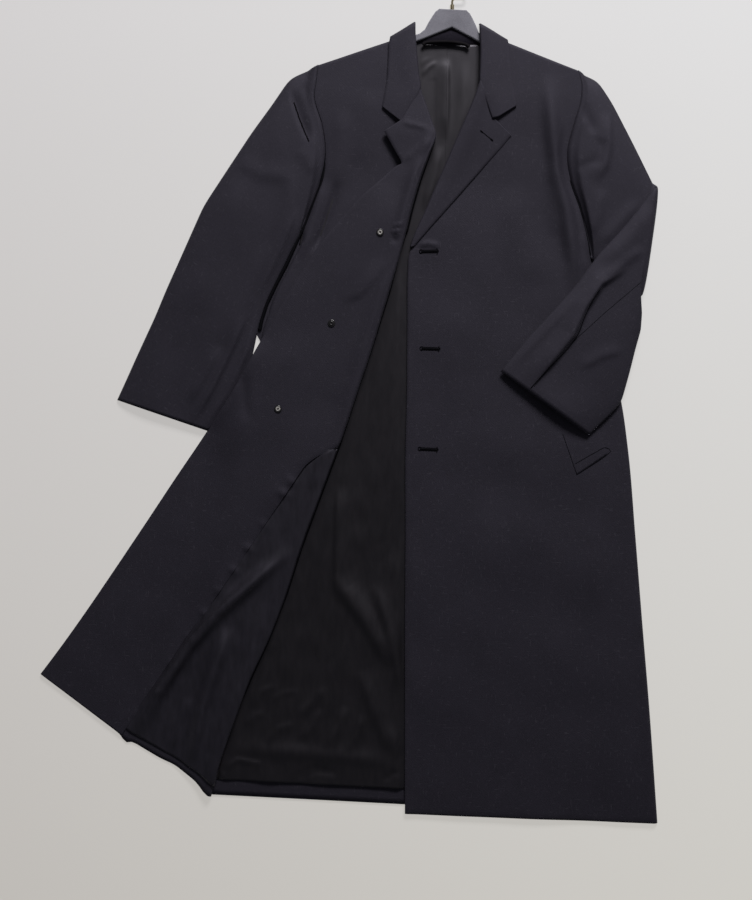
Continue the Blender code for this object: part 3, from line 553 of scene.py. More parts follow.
# the closed left front
leftFrontSet = dict(step=0.0036, columns=104, loft=0.0014, roll=0.0068, floor=0.0012, armhole=0.222,
                    bend=0.014, edgeDip=0.0009, hemDip=0.0012)
leftFrontCreases = (
    (((572, 296), (572, 262), (565, 214), (556, 176), (551, 140), (548, 100), (546, 76)),
     0.012, 0.014, 0.0090),
    (((556, 240), (552, 200), (548, 160)), 0.012, 0.010, 0.0020),
    (((581, 232), (584, 250), (585, 274)), 0.005, 0.005, 0.0034),
    (((590, 238), (592, 254), (594, 270)), 0.004, 0.004, 0.0030),
    (((588, 262), (580, 226), (575, 204)), 0.0030, 0.0030, 0.0030),
    (((436, 470), (430, 600), (428, 740)), 0.040, 0.040, 0.0022),
    (((500, 480), (486, 610), (476, 790)), 0.045, 0.045, 0.0030),
    (((588, 500), (606, 640), (622, 800)), 0.034, 0.034, 0.0026),
    (((455, 300), (448, 350), (462, 420)), 0.030, 0.030, 0.0016),
    (((500, 420), (520, 480), (530, 560)), 0.040, 0.040, 0.0018),
    (((500, 190), (520, 230), (538, 290)), 0.030, 0.030, 0.0022),
    (((418, 247), (428, 245), (440, 248)), 0.0045, 0.003, 0.0022),
)


def frontTop(x, y):
    return layer["front"] + leftFrontSet["loft"] + hangerLift(y)


def armholeDip(steps, y):
    # the cloth sinks to the armhole's seam, more so towards the underarm
    return (0.0002 + 0.0020 * smooth((0.42 - y) / 0.10)) * np.exp(-((steps / 0.0026) ** 2))


def overShoulder(x, y, z, low):
    # the last rows go down over the shoulder's edge
    fromEdge = np.hypot(x - x[-1:], y - y[-1:])
    return low + (z - low) * rounded(fromEdge, 0.0030)


def turnedDown(y, settings):
    # 1 below the armhole, where the side's edge turns down to the surface
    return smooth((settings["armhole"] - y[:, :1]) / settings["bend"] + 0.5) * np.ones(y.shape)


x, y, steps = planGrid(bodyTable(leftBody, 1), leftFrontSet["step"], leftFrontSet["columns"], True, True)
down = turnedDown(y, leftFrontSet)
fromEnd = steps[:, -1:] - steps
edgeFade = smooth(steps / 0.05) * smooth(fromEnd / 0.02)
z = frontTop(x, y) + creaseHeight(x, y, leftFrontCreases) * smooth(steps / 0.02) * smooth(fromEnd / 0.012)
z = z + edgeFade * drift(x, y, 21, 0.16, 0.0012) * smooth((0.5 - y) / 0.1)
rise = rounded(steps, leftFrontSet["roll"])
low = leftFrontSet["floor"]
rolled = low + (z - low) * rise
z = z + (rolled - z) * down
z = z - armholeDip(steps, y) * (1 - down) - leftFrontSet["edgeDip"] * np.exp(-((fromEnd / 0.0016) ** 2))
z = overShoulder(x, y, z, low)
hemDip = leftFrontSet["hemDip"] * np.exp(-(((y - y[:1]) / 0.0040) ** 2))
z = np.maximum(z - hemDip, low)
leftFront = sheetMesh("left_front", x, y, z, thick["wool"], wool)
print("left front laid")

# the right front as worn, from the side to the slanting fold
rightSideSet = dict(step=0.0036, columns=60, loft=0.0010, roll=0.0068, floor=0.0012, armhole=0.270,
                    bend=0.012)
rightSideCreases = (
    (((312, 256), (322, 232), (331, 206), (338, 180)), 0.0050, 0.0085, -0.0036),
    (((300, 262), (308, 240), (318, 210), (326, 180)), 0.007, 0.007, 0.0026),
    (((334, 190), (340, 150), (344, 110)), 0.016, 0.016, 0.0020),
    (((356, 170), (366, 130), (372, 90)), 0.020, 0.020, 0.0016),
)
# between the arm and the side the edge stands back from the armhole's line
sideBack = ((-0.60, 0.0), (0.10, 0.0005), (0.14, 0.0038), (0.27, 0.0034), (0.34, 0.0), (0.56, 0.0))
sideTable = bodyTable(rightBody[1:], 1)
x, y, steps = planGrid(sideTable, rightSideSet["step"], rightSideSet["columns"], True, False)
x = x + bySteps(sideBack, y) * np.exp(-((steps / 0.03) ** 2))
down = turnedDown(y, rightSideSet)
fromEnd = steps[:, -1:] - steps
upper = smooth((y - 0.10) / 0.08)
z = layer["front"] + hangerLift(y)
z = z + upper * smooth(fromEnd / 0.05) * (rightSideSet["loft"] + creaseHeight(x, y, rightSideCreases))
rise = rounded(steps, rightSideSet["roll"])
low = rightSideSet["floor"]
z = z + (low + (z - low) * rise - z) * down
z = z - armholeDip(steps, y) * (1 - down)
z = overShoulder(x, y, z, low)
rightSide = sheetMesh("right_front_side", x, y, z, thick["wool"], wool)
print("right front side laid")

# the thrown-open right front: fold, half way, front edge, collar end first
openFront = (
    ((0.112, 0.500), (0.083, 0.450), (0.055, 0.432)),
    ((0.121, 0.475), (0.090, 0.438), (0.062, 0.420)),
    ((0.130, 0.448), (0.098, 0.420), (0.072, 0.402)),
    ((0.137, 0.425), (0.106, 0.400), (0.083, 0.382)),
    ((0.125, 0.392), (0.098, 0.380), (0.072, 0.373)),
    ((0.112, 0.358), (0.080, 0.356), (0.047, 0.351)),
    ((0.097, 0.308), (0.057, 0.320), (0.016, 0.324)),
    ((0.084, 0.255), (0.034, 0.281), (-0.015, 0.290)),
    ((0.070, 0.205), (0.010, 0.240), (-0.045, 0.254)),
    ((0.052, 0.145), (-0.015, 0.183), (-0.075, 0.210)),
    ((0.033, 0.082), (-0.036, 0.124), (-0.104, 0.163)),
    ((0.011, 0.016), (-0.067, 0.056), (-0.144, 0.094)),
    ((-0.021, -0.079), (-0.105, -0.034), (-0.190, 0.012)),
    ((-0.050, -0.157), (-0.143, -0.108), (-0.236, -0.058)),
    ((-0.083, -0.246), (-0.187, -0.192), (-0.290, -0.138)),
    ((-0.106, -0.318), (-0.221, -0.262), (-0.335, -0.206)),
    ((-0.135, -0.394), (-0.261, -0.338), (-0.386, -0.282)),
    ((-0.163, -0.454), (-0.294, -0.396), (-0.424, -0.338)),
    ((-0.190, -0.525), (-0.326, -0.459), (-0.462, -0.392)),
    ((-0.213, -0.590), (-0.352, -0.511), (-0.490, -0.430)),
    ((-0.226, -0.640), (-0.371, -0.553), (-0.506, -0.451)),
)
openSet = dict(woolStep=0.007, woolColumns=40, woolRoll=0.006, step=0.0036, facingWidth=0.165,
               facingExtra=0.040, facingColumns=52, dropWidth=0.075, foldTop=(-0.143, 0.120),
               foldSlope=0.1075, rollReach=0.0022, rollLength=0.017, turn=math.radians(165))
openLoft = ((0.50, 0.0005), (0.42, 0.0060), (0.33, 0.0080), (0.20, 0.0062), (0.10, 0.0048), (-0.10, 0.0036),
            (-0.45, 0.0016), (-0.65, 0.0008))
hemNudges = (((209, 787), 11, (-1, 7)), ((127, 737), 5, (-1, 4)), ((176, 766), 12, (0, -2)))


def sideFoldX(y):
    return openSet["foldTop"][0] - (openSet["foldTop"][1] - y) * openSet["foldSlope"]


# the slanting fold isn't pressed: it stands, most of all near the collar
hingeRidge = dict(height=((0.50, 0.0000), (0.45, 0.0012), (0.40, 0.0044), (0.33, 0.0060), (0.24, 0.0052),
                          (0.10, 0.0046), (-0.30, 0.0044), (-0.60, 0.0040), (-0.65, 0.0020)),
                  reach=((0.50, 0.013), (0.30, 0.015), (0.10, 0.014), (-0.65, 0.013)),
                  inside=((0.50, 0.005), (0.28, 0.005), (0.05, 0.003), (-0.65, 0.002)))
overSleeve = ((((266, 336), (240, 380), (210, 430)), 0.022, 0.022, 0.0046),)


def openWoolHeight(x, y):
    overBody = layer["front"] + hangerLift(y) + layer["onWool"] + bySteps(openLoft, y)
    share = smooth((x - sideFoldX(y) + 0.004 + openSet["dropWidth"]) / openSet["dropWidth"])
    lying = layer["back"] + 0.0002 + (overBody - layer["back"]) * share
    away, along, side = onRoute(hingeRoute, x, y)
    offset = (away - bySteps(hingeRidge["inside"], y)) / bySteps(hingeRidge["reach"], y)
    stands = bySteps(hingeRidge["height"], y) * np.exp(-(offset ** 2))
    return lying + creaseHeight(x, y, overSleeve) + stands


def openRows(step):
    return smoothRows([row[::-1] for row in openFront], step)


grid = []
for row in openRows(openSet["woolStep"]):
    length = rowLength(row)
    grid.append(alongRow(row, edgeSteps(length - 0.0004, openSet["woolColumns"], True, True)))
grid = np.array(grid)
x, y = nudge(grid[..., 0], grid[..., 1], hemNudges)
fromFold = np.hypot(x - x[:, -1:], y - y[:, -1:])
top = openWoolHeight(x, y)
low = layer["under"] + hangerLift(y) + 0.0012
z = low + (top - low) * rounded(fromFold, openSet["woolRoll"])
rightFront = sheetMesh("right_front", x, y, z, thick["turned"], wool)

# the upper side of the open front: its facing by the front edge, its lining up to and round the slanting fold
facingCreases = (
    (((402, 165), (418, 152), (432, 141)), 0.0040, 0.0100, 0.0014),
    (((401, 126), (414, 129), (430, 133)), 0.0050, 0.0045, 0.0012),
    (((400, 250), (412, 205), (424, 160)), 0.016, 0.010, 0.0040),
    (((352, 300), (372, 240), (400, 190)), 0.030, 0.024, 0.0026),
    (((350, 380), (372, 320), (388, 262)), 0.020, 0.014, 0.0026),
    (((391, 229.5), (398, 228), (405, 227)), 0.0018, 0.0018, 0.0024),
    (((390, 234.5), (397, 234), (404, 235)), 0.0018, 0.0018, 0.0024),
    (((390, 241), (396, 243), (403, 243)), 0.0060, 0.0050, -0.0022),
    (((338, 302), (358, 296), (376, 278), (393, 256)), 0.014, 0.0070, 0.0018),
    (((243, 368), (246, 394), (248, 424)), 0.009, 0.009, -0.0022),
    (((330, 400), (300, 460), (262, 520)), 0.026, 0.022, 0.0026),
    (((300, 330), (262, 400), (222, 460)), 0.034, 0.030, 0.0022),
    (((215, 470), (150, 590), (92, 680)), 0.040, 0.035, 0.0026),
    (((240, 500), (200, 560), (150, 640)), 0.030, 0.026, 0.0020),
)
openLiningCreases = (
    (((138, 738), (160, 692), (190, 646), (220, 612), (250, 585), (279, 560), (296, 545)),
     0.0120, 0.0095, 0.0120),
    (((192, 766), (203, 706), (217, 664), (231, 624)), 0.012, 0.0095, 0.0090),
    (((262, 600), (246, 650), (228, 706), (214, 752)), 0.008, 0.008, 0.0030),
    (((168, 752), (176, 726), (192, 696)), 0.010, 0.010, 0.0030),
    (((312, 490), (322, 462), (334, 434)), 0.009, 0.009, 0.0020),
    (((132, 732), (150, 700), (176, 660)), 0.0022, 0.0022, 0.0022),
    (((180, 652), (206, 622), (240, 588)), 0.0022, 0.0022, 0.0020),
)
puckers = ((292, 481), (284, 493), (265, 524), (250, 548), (236, 570), (220, 590), (208, 614), (192, 638),
           (176, 664), (160, 690), (144, 716))


def puckerHeight(x, y):
    total = np.zeros(x.shape)
    for number, (u, v) in enumerate(puckers):
        px, py = spot(u, v)
        alongSeam = (x - px) * -0.52 + (y - py) * -0.85
        acrossSeam = (x - px) * 0.85 + (y - py) * -0.52
        size = 0.8 + 0.3 * math.sin(number * 2.3)
        total += 0.0026 * size * np.exp(-((alongSeam / 0.0065) ** 2) - ((acrossSeam / 0.012) ** 2))
    return total


def openSurface(rows, spans, creases, rise):
    # plan and height of the upper side: distances are walked from the front edge, over and round the fold
    xs, ys, zs, ds = [], [], [], []
    for row, distances in zip(rows, spans):
        length = rowLength(row)
        flat = alongRow(row, np.minimum(distances, length))
        run = row[-1] - row[-2]
        run = run / np.linalg.norm(run)
        fx, fy = flat[:, 0], flat[:, 1]
        top = openWoolHeight(fx, fy) + rise
        low = layer["under"] + hangerLift(fy) + 0.0006
        beyond = np.clip(distances - length, 0, None)
        half = (top - low) / 2
        arc = math.pi / 2 * (openSet["rollReach"] + half)
        angle = math.pi / 2 - np.clip(beyond / arc, 0, 1) * openSet["turn"]
        out = openSet["rollReach"] * np.cos(angle) * (beyond > 0)
        xs.append(fx + run[0] * out)
        ys.append(fy + run[1] * out)
        zs.append(np.where(beyond > 0, top - half + half * np.sin(angle), top))
        ds.append(length - distances)
    x, y, z, left = (np.array(part) for part in (xs, ys, zs, ds))
    x, y = nudge(x, y, hemNudges)
    fade = smooth(left / 0.012)
    return x, y, z + fade * creases(x, y), left


facingRows = openRows(openSet["step"])
spans, liningRows, liningSpans, seams = [], [], [], []
for row in facingRows:
    length = rowLength(row)
    end = length + openSet["rollLength"]
    # towards the collar the facing is wider, so that the lining ends at the fold
    extra = openSet["facingExtra"] * float(smooth((row[-1, 1] + 0.135) / 0.09))
    wide = openSet["facingWidth"] + extra
    spans.append(edgeSteps(min(wide, end), openSet["facingColumns"], True, True))
    if end > wide + 0.006:
        liningRows.append(row)
        seams.append(wide)
        if length > wide + 0.004:
            # under the facing's seam, over the flat and round the fold
            liningSpans.append(np.concatenate([wide + np.linspace(-0.0030, 0.0, 3)[:-1],
                                               np.linspace(wide, length, 46)[:-1],
                                               np.linspace(length, end, 10)]))
        else:
            liningSpans.append(np.linspace(wide - 0.003, end, 57))


def facingRelief(x, y):
    return creaseHeight(x, y, facingCreases) + drift(x, y, 31, 0.13, 0.0006) * smooth((0.40 - y) / 0.1)


x, y, z, left = openSurface(facingRows, spans, facingRelief, layer["onWool"])
ends = np.array([span[-1] for span in spans])[:, None]
starts = np.array(spans)
toSeam = ends - starts
isSeam = smooth((left[:, -1:] + 0.016) / 0.004)
z = z - 0.0010 * np.exp(-((starts / 0.0018) ** 2))
gathered = puckerHeight(x, y) * np.exp(-((toSeam / 0.016) ** 2))
z = z + isSeam * (gathered - 0.0006 * np.exp(-((toSeam / 0.003) ** 2)))
facing = sheetMesh("right_facing", x, y, z, thick["wool"], wool)


def openLiningRelief(x, y):
    lower = smooth((-0.10 - y) / 0.25)
    relief = creaseHeight(x, y, openLiningCreases)
    relief += lower * (drift(x, y, 44, 0.060, 0.0007, -1.1, 2.4) + drift(x, y, 47, 0.026, 0.00025, -1.1, 2.0))
    return np.maximum(relief, -0.0006) + 0.0004


# the lining stops four rows short of the hem
liningRows, liningSpans, seams = liningRows[:-4], liningSpans[:-4], np.array(seams[:-4])[:, None]
x, y, z, left = openSurface(liningRows, liningSpans, openLiningRelief, 0.0018)
z = z + 0.45 * puckerHeight(x, y)
tuck = smooth((np.array(liningSpans) - seams + 0.003) / 0.008)
z = z - 0.0012 * (1 - tuck)
openLining = sheetMesh("right_front_lining", x, y, z, thick["lining"], openSatin)
print("open front laid")

# the left lapel, from its break point up: roll line, half way, outer edge
lapelTable = (
    ((0.1000, 0.2450), (0.1020, 0.2460), (0.1040, 0.2470)),
    ((0.1010, 0.2500), (0.1050, 0.2520), (0.1090, 0.2530)),
    ((0.1260, 0.3080), (0.1390, 0.3070), (0.1530, 0.3030)),
    ((0.1480, 0.3590), (0.1730, 0.3580), (0.1970, 0.3530)),
    ((0.1660, 0.4000), (0.1990, 0.3980), (0.2290, 0.3890)),
    ((0.1880, 0.4500), (0.2160, 0.4260), (0.2480, 0.4100)),
    ((0.2030, 0.4860), (0.2260, 0.4440), (0.2570, 0.4210)),
    ((0.2122, 0.5140), (0.2333, 0.4545), (0.2620, 0.4260)),
)
lapelSet = dict(step=0.0032, columns=34, belly=0.0030)
flapRoll = 0.0020


def onFront(x, y):
    return frontTop(x, y) + layer["onWool"]


def rolledFlap(node, table, step, columns, belly, rise=0.0, dropFrom=None):
    # a lapel or collar leaf: it rolls over at the start of each row and lies on the front at its end;
    # its last row, if it has a dropFrom, goes down over the shoulder's edge to the surface
    rows = smoothRows(table, step)
    ends = np.array([row[0] for row in rows])
    walked = np.concatenate([[0.0], np.cumsum(np.linalg.norm(np.diff(ends, axis=0), axis=1))])
    xs, ys, zs = [], [], []
    for row, place in zip(rows, walked[-1] - walked):
        length = rowLength(row)
        run = (row[1] - row[0]) / np.linalg.norm(row[1] - row[0])
        flat = edgeSteps(length, columns, False, True)
        base = alongRow(row, flat)
        top = onFront(base[:, 0], base[:, 1]) + rise
        bulge = belly * min(1.0, length / 0.04) * np.exp(-(((flat - 0.010) / 0.020) ** 2))
        z = top + bulge - 0.0008 * np.exp(-(((length - flat) / 0.0016) ** 2))
        low = layer["under"] + float(hangerLift(row[0, 1])) + 0.0008
        half = (z[0] - low) / 2
        angle = math.pi / 2 + np.linspace(1.0, 0.0, 10)[:-1] * openSet["turn"]
        out = np.cos(angle) * flapRoll
        z = np.concatenate([z[0] - half + half * np.sin(angle), z])
        if dropFrom is not None:
            fall = 1 - (1 - np.clip(place / dropFrom, 0, 1)) ** 2
            z = 0.0012 + (z - 0.0012) * math.sqrt(fall)
        xs.append(np.concatenate([row[0, 0] + run[0] * out, base[:, 0]]))
        ys.append(np.concatenate([row[0, 1] + run[1] * out, base[:, 1]]))
        zs.append(z)
    return sheetMesh(node, np.array(xs), np.array(ys), np.array(zs), thick["flap"], wool)


leftLapel = rolledFlap("left_lapel", lapelTable, **lapelSet)

# the collar: two leaves and the part behind the neck
leafSet = dict(step=0.0022, columns=16, belly=0.0018, rise=0.0010, dropFrom=0.009)
# rows from the leaf's lower edge up to the shoulder: the neck's roll, half way, the outer edge
leftLeafTable = [spots(row) for row in (
    ((492.3, 121.4), (497.5, 120.2), (515.0, 109.2)),
    ((486.2, 104.4), (497.0, 103.4), (513.0, 97.5)),
    ((480.4, 87.5), (496.0, 87.0), (511.0, 86.0)),
    ((480.6, 68.0), (495.0, 68.2), (509.3, 68.0)),
    ((480.8, 50.0), (494.5, 50.6), (507.8, 52.0)),
    ((480.2, 38.0), (494.0, 42.8), (506.8, 46.4)),
    ((480.0, 26.5), (493.0, 34.4), (506.0, 43.4)),
)]
rightLeafTable = [spots(row) for row in (
    ((403.4, 120.6), (400.7, 125.0), (382.2, 110.2)),
    ((410.6, 107.6), (401.0, 107.6), (384.5, 98.0)),
    ((418.6, 93.0), (403.0, 91.0), (387.0, 84.0)),
    ((417.0, 77.0), (403.0, 75.0), (387.9, 70.0)),
    ((415.0, 56.0), (402.5, 55.4), (388.6, 54.0)),
    ((413.6, 38.0), (401.5, 43.4), (389.2, 45.4)),
    ((413.6, 25.0), (402.0, 32.4), (390.6, 39.6)),
)]
leftLeaf = rolledFlap("collar_left_leaf", leftLeafTable, **leafSet)
rightLeaf = rolledFlap("collar_right_leaf", rightLeafTable, **leafSet)
collarBackTable = (
    ((0.0950, 0.5805), (0.0985, 0.5890)),
    ((0.1040, 0.5782), (0.1080, 0.5925)),
    ((0.1300, 0.5750), (0.1300, 0.6020)),
    ((0.1580, 0.5725), (0.1585, 0.6070)),
    ((0.1960, 0.5748), (0.1960, 0.6030)),
    ((0.2130, 0.5765), (0.2106, 0.5920)),
    ((0.2230, 0.5782), (0.2200, 0.5900)),
)
standSet = dict(step=0.003, columns=14, low=0.0012, height=0.0040)
x, y, steps = planGrid(collarBackTable, standSet["step"], standSet["columns"], False, True)
bow = np.sin(math.pi * np.clip(steps / steps[:, -1:], 0, 1)) ** 0.8
# the stand's wool is the dulled copy, painted shade under the hanger
collarBack = sheetMesh("collar_back", x, y, standSet["low"] + standSet["height"] * bow, thick["wool"],
                       standWoolPaintedShade)
print("collar and lapel laid")

# sleeves: overarm edge, underarm edge, height of the middle, thickness, turn of the flat tube
rightSleeveTable = (
    ((-0.099, 0.522), (-0.0826, 0.268), 0.0072, 0.0140, 0),
    ((-0.128, 0.479), (-0.0840, 0.262), 0.0074, 0.0144, 0),
    ((-0.161, 0.434), (-0.0895, 0.2525), 0.0070, 0.0136, 0),
    ((-0.200, 0.375), (-0.0955, 0.241), 0.0064, 0.0124, 0),
    ((-0.240, 0.314), (-0.1058, 0.219), 0.0058, 0.0112, 0),
    ((-0.2800, 0.224), (-0.1345, 0.162), 0.0054, 0.0104, 0),
    ((-0.3015, 0.176), (-0.1490, 0.120), 0.0052, 0.0100, 0),
    ((-0.320, 0.131), (-0.1575, 0.079), 0.0052, 0.0100, 0),
    ((-0.3345, 0.100), (-0.1615, 0.060), 0.0050, 0.0098, 0),
    ((-0.351, 0.064), (-0.1790, 0.0180), 0.0050, 0.0096, 0),
    ((-0.367, 0.028), (-0.2050, -0.0215), 0.0050, 0.0096, 0),
    ((-0.3815, -0.0035), (-0.2325, -0.0545), 0.0050, 0.0098, 0),
)
leftSleeveTable = (
    ((0.405, 0.517), (0.4050, 0.214), 0.0072, 0.0140, 0),
    ((0.4285, 0.481), (0.4250, 0.203), 0.0068, 0.0132, 0),
    ((0.465, 0.410), (0.4480, 0.185), 0.0058, 0.0112, 0),
    ((0.494, 0.351), (0.4690, 0.170), 0.0050, 0.0096, 0),
    ((0.4952, 0.348), (0.4700, 0.1685), 0.0060, 0.0092, 40),
    ((0.4957, 0.346), (0.4705, 0.1675), 0.0074, 0.0088, 70),
    ((0.4960, 0.344), (0.4708, 0.1670), 0.0094, 0.0088, 95),
    ((0.4957, 0.3425), (0.4705, 0.1660), 0.0114, 0.0088, 120),
    ((0.4950, 0.3415), (0.4700, 0.1650), 0.0130, 0.0090, 145),
    ((0.494, 0.340), (0.4690, 0.164), 0.0138, 0.0090, 180),
    ((0.452, 0.285), (0.4745, 0.139), 0.0140, 0.0090, 180),
    ((0.403, 0.232), (0.4725, 0.110), 0.0140, 0.0090, 180),
    ((0.365, 0.180), (0.4640, 0.080), 0.0140, 0.0090, 180),
    ((0.326, 0.137), (0.4540, 0.040), 0.0142, 0.0092, 180),
    ((0.286, 0.094), (0.4400, -0.010), 0.0140, 0.0080, 180),
    ((0.2445, 0.0425), (0.3875, -0.0615), 0.0138, 0.0074, 180),
)
rightSleeveCreases = (
    (((311, 147), (306, 136), (299.5, 120), (294.5, 104), (291.5, 90)), 0.0035, 0.0120, -0.0034),
    (((302, 82), (307, 96), (316, 120)), 0.0060, 0.0060, -0.0012),
    (((316, 176), (306, 160), (300, 150)), 0.0100, 0.0100, 0.0012),
    (((206, 430), (226, 396), (244, 358), (258, 316)), 0.0050, 0.0040, 0.0030),
    (((214, 424), (234, 388), (250, 350), (262, 318)), 0.0042, 0.0036, 0.0026),
    (((194, 424), (214, 388), (236, 342), (250, 310)), 0.0080, 0.0046, 0.0034),
    (((190, 404), (206, 376), (222, 346)), 0.010, 0.007, 0.0022),
    (((258, 300), (282, 250), (298, 210)), 0.0060, 0.0050, 0.0022),
    (((300, 160), (285, 220), (262, 290)), 0.018, 0.014, 0.0022),
    (((196, 320), (222, 240), (250, 170)), 0.030, 0.030, 0.0026),
    (((224, 350), (248, 300), (270, 240)), 0.016, 0.014, 0.0024),
    (((232, 160), (262, 176), (296, 180)), 0.016, 0.012, 0.0018),
)
upperArmCreases = (
    (((591, 138), (588, 126), (582, 113), (579, 102)), 0.0050, 0.0090, -0.0022),
    (((592, 186), (603, 168), (607, 146), (607, 112)), 0.013, 0.0060, 0.0030),
    (((592, 170), (599, 156), (601, 140)), 0.0090, 0.0090, -0.0020),
    (((588, 240), (596, 215), (600, 190)), 0.010, 0.010, 0.0020),
    (((592, 250), (612, 232), (640, 200)), 0.012, 0.010, 0.0020),
    (((574, 172), (584, 166), (596, 164)), 0.0050, 0.0090, -0.0012),
)
forearmCreases = (
    (((527, 389), (549, 363), (570, 337), (582, 310), (598, 286), (626, 269)), 0.020, 0.0052, 0.0086),
    (((576, 370), (600, 357), (622, 351)), 0.012, 0.0060, 0.0016),
    (((600, 268), (630, 235), (648, 205)), 0.018, 0.018, 0.0030),
    (((604, 280), (625, 262), (642, 250)), 0.010, 0.008, 0.0020),
    (((506, 372), (540, 336), (590, 284)), 0.006, 0.006, 0.0014),
)
# the cuff's upper layer stands open
cuffSet = dict(reach=0.040, height=0.0040)
sleeveSet = dict(columns=88, step=0.0040, headThickness=0.0128, headLift=0.0003, elbow=0.0040)


def softened(values, places, reach, keep):
    # the rows' own values averaged over a short reach along the sleeve, apart from those to keep
    weights = np.exp(-(((places[:, None] - places[None]) / reach) ** 2)) * (1 - keep)[None]
    weights = weights / np.maximum(weights.sum(axis=1, keepdims=True), 1e-9)
    mixed = np.tensordot(weights, values, axes=(1, 0))
    blend = (1 - keep)[:, None, None]
    return values * (1 - blend) + mixed * blend


def makeSleeve(node, body, table, shift, upperCreases, lowerCreases, openCuff=False):
    # a flat tube from the armhole's own edge to the cuff; a row's turn of 180 lays it wrong side up
    across = 0.5 - 0.5 * np.cos(np.linspace(0, math.pi, sleeveSet["columns"]))
    across = 0.30 * across + 0.70 * np.linspace(0, 1, sleeveSet["columns"])
    hole = armLine(body) + np.array([shift, 0.0])
    lines = [alongRow(hole, across * rowLength(hole))]
    facts = [(sleeveSet["headThickness"] / 2 + sleeveSet["headLift"], sleeveSet["headThickness"], 0.0)]
    for over, under, height, thickness, turn in table:
        line = np.array([over, under])
        lines.append(alongRow(line, across * rowLength(line)))
        facts.append((height, thickness, math.radians(turn)))
    rows = np.array([[(*place, *fact) for place in line] for line, fact in zip(lines, facts)])
    walked = np.linalg.norm(np.diff(rows[..., :2], axis=0), axis=2).max(axis=1)
    gaps = walked + 0.0035 * np.abs(np.diff(rows[:, 0, 4]))
    places = np.concatenate([[0.0], np.cumsum(gaps)])
    wanted = [0.0]
    for first, gap in zip(places, gaps):
        parts = max(2 if gap < 0.01 else 1, int(round(gap / sleeveSet["step"])))
        wanted += [first + gap * k / parts for k in range(1, parts + 1)]
    wanted = np.array(wanted)
    index = np.clip(np.searchsorted(places, wanted, side="right") - 1, 0, len(gaps) - 1)
    share = ((wanted - places[index]) / gaps[index])[:, None, None]
    rings = rows[index] + (rows[index + 1] - rows[index]) * share
    turning = places[np.concatenate([np.abs(np.diff(rows[:, 0, 4])) > 0.1, [False]])]
    keep = np.exp(-((wanted / 0.006) ** 2)) + np.exp(-(((wanted[-1] - wanted) / 0.006) ** 2))
    if len(turning):
        off = np.maximum(turning[0] - wanted, wanted - turning[-1] - 0.012)
        keep = keep + 1 - smooth(off / 0.020)
    rings = softened(rings, wanted, 0.014, np.clip(keep, 0, 1))
    px, py, height, thickness, turn = (rings[..., k] for k in range(5))
    run = rings[:, -1, :2] - rings[:, 0, :2]
    run = run / np.linalg.norm(run, axis=1)[:, None]
    outX, outY = -run[:, 1], run[:, 0]
    flip = np.where(outX < 0, -1.0, 1.0)
    outX, outY = (outX * flip)[:, None], (outY * flip)[:, None]
    reach = sleeveSet["elbow"] * np.sin(turn)
    half = thickness / 2 * (1 - np.abs(2 * across - 1)[None] ** 3.2) ** 0.5
    middleX, middleY = px + outX * reach, py + outY * reach
    # the outer edge lies on the surface, the inner one on the back's side, the forearm's on the front
    laid = np.where(turn < math.pi / 2, 0.9 - 0.7 * smooth((across[None] - 0.80) / 0.15), 0.35)
    height = height - (thickness / 2 - half) * np.abs(np.cos(turn)) * laid
    toCuff = wanted[-1] - wanted
    opened = cuffSet["height"] * np.exp(-((toCuff / cuffSet["reach"]) ** 2))[:, None] * openCuff
    opened = opened * np.sin(math.pi * across[None] ** 1.6) ** 1.6
    sides = []
    for sign in (1, -1):
        x = middleX - sign * outX * np.sin(turn) * half
        y = middleY - sign * outY * np.sin(turn) * half
        z = height + sign * np.cos(turn) * half + opened * (sign * np.cos(turn) > 0)
        up = np.clip(sign * np.cos(turn), 0, 1) * (1 - np.abs(2 * across - 1)[None] ** 6)
        isUpperArm = turn < math.pi / 2
        relief = np.where(isUpperArm, creaseHeight(x, y, upperCreases), creaseHeight(x, y, lowerCreases))
        relief = relief + drift(x, y, 61, 0.12, 0.0008)
        z = z + up * relief
        if sign > 0:
            sewnOn = np.exp(-((wanted[:, None] / 0.010) ** 2))
            seamTop = frontTop(x, y) - 0.0007 - 0.0024 * smooth((0.40 - y) / 0.12)
            z = z + (seamTop - z) * sewnOn
        sides.append((x, y, z))
    x, y, z = (np.concatenate([u, l[:, -2:0:-1], u[:, :1]], axis=1) for u, l in zip(*sides))
    z = np.maximum(z, 0.0002)
    return sheetMesh(node, x, y, z, thick["wool"], sleeveWool, offset=-1.0, closed=True)


rightSleeve = makeSleeve("right_sleeve", rightBody, rightSleeveTable, -0.0006, rightSleeveCreases,
                         rightSleeveCreases)
leftSleeve = makeSleeve("left_sleeve", leftBody, leftSleeveTable, 0.0006, upperArmCreases, forearmCreases,
                        True)
print("sleeves laid")

# sewing and small pieces
def tube(name, points, radius, finish, closed=False):
    # a round cord along the points
    data = bpy.data.curves.new(name, "CURVE")
    data.dimensions = "3D"
    data.bevel_depth = radius
    data.bevel_resolution = 2
    data.use_fill_caps = True
    spline = data.splines.new("POLY")
    spline.points.add(len(points) - 1)
    for target, point in zip(spline.points, points):
        target.co = (*point, 1.0)
    spline.use_cyclic_u = closed
    data.materials.append(finish)
    piece = bpy.data.objects.new(name, data)
    bpy.context.scene.collection.objects.link(piece)
    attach(piece, "root")
    return piece


def onTop(*laid):
    # the height of the uppermost of these pieces at a place
    graph = bpy.context.evaluated_depsgraph_get()
    trees = [BVHTree.FromObject(piece, graph) for piece in laid]

    def height(x, y):
        heights = []
        for px, py in zip(x, y):
            hits = [tree.ray_cast(Vector((px, py, 0.2)), Vector((0, 0, -1)))[0] for tree in trees]
            heights.append(max([hit.z for hit in hits if hit is not None], default=0.001))
        return np.array(heights)
    return height


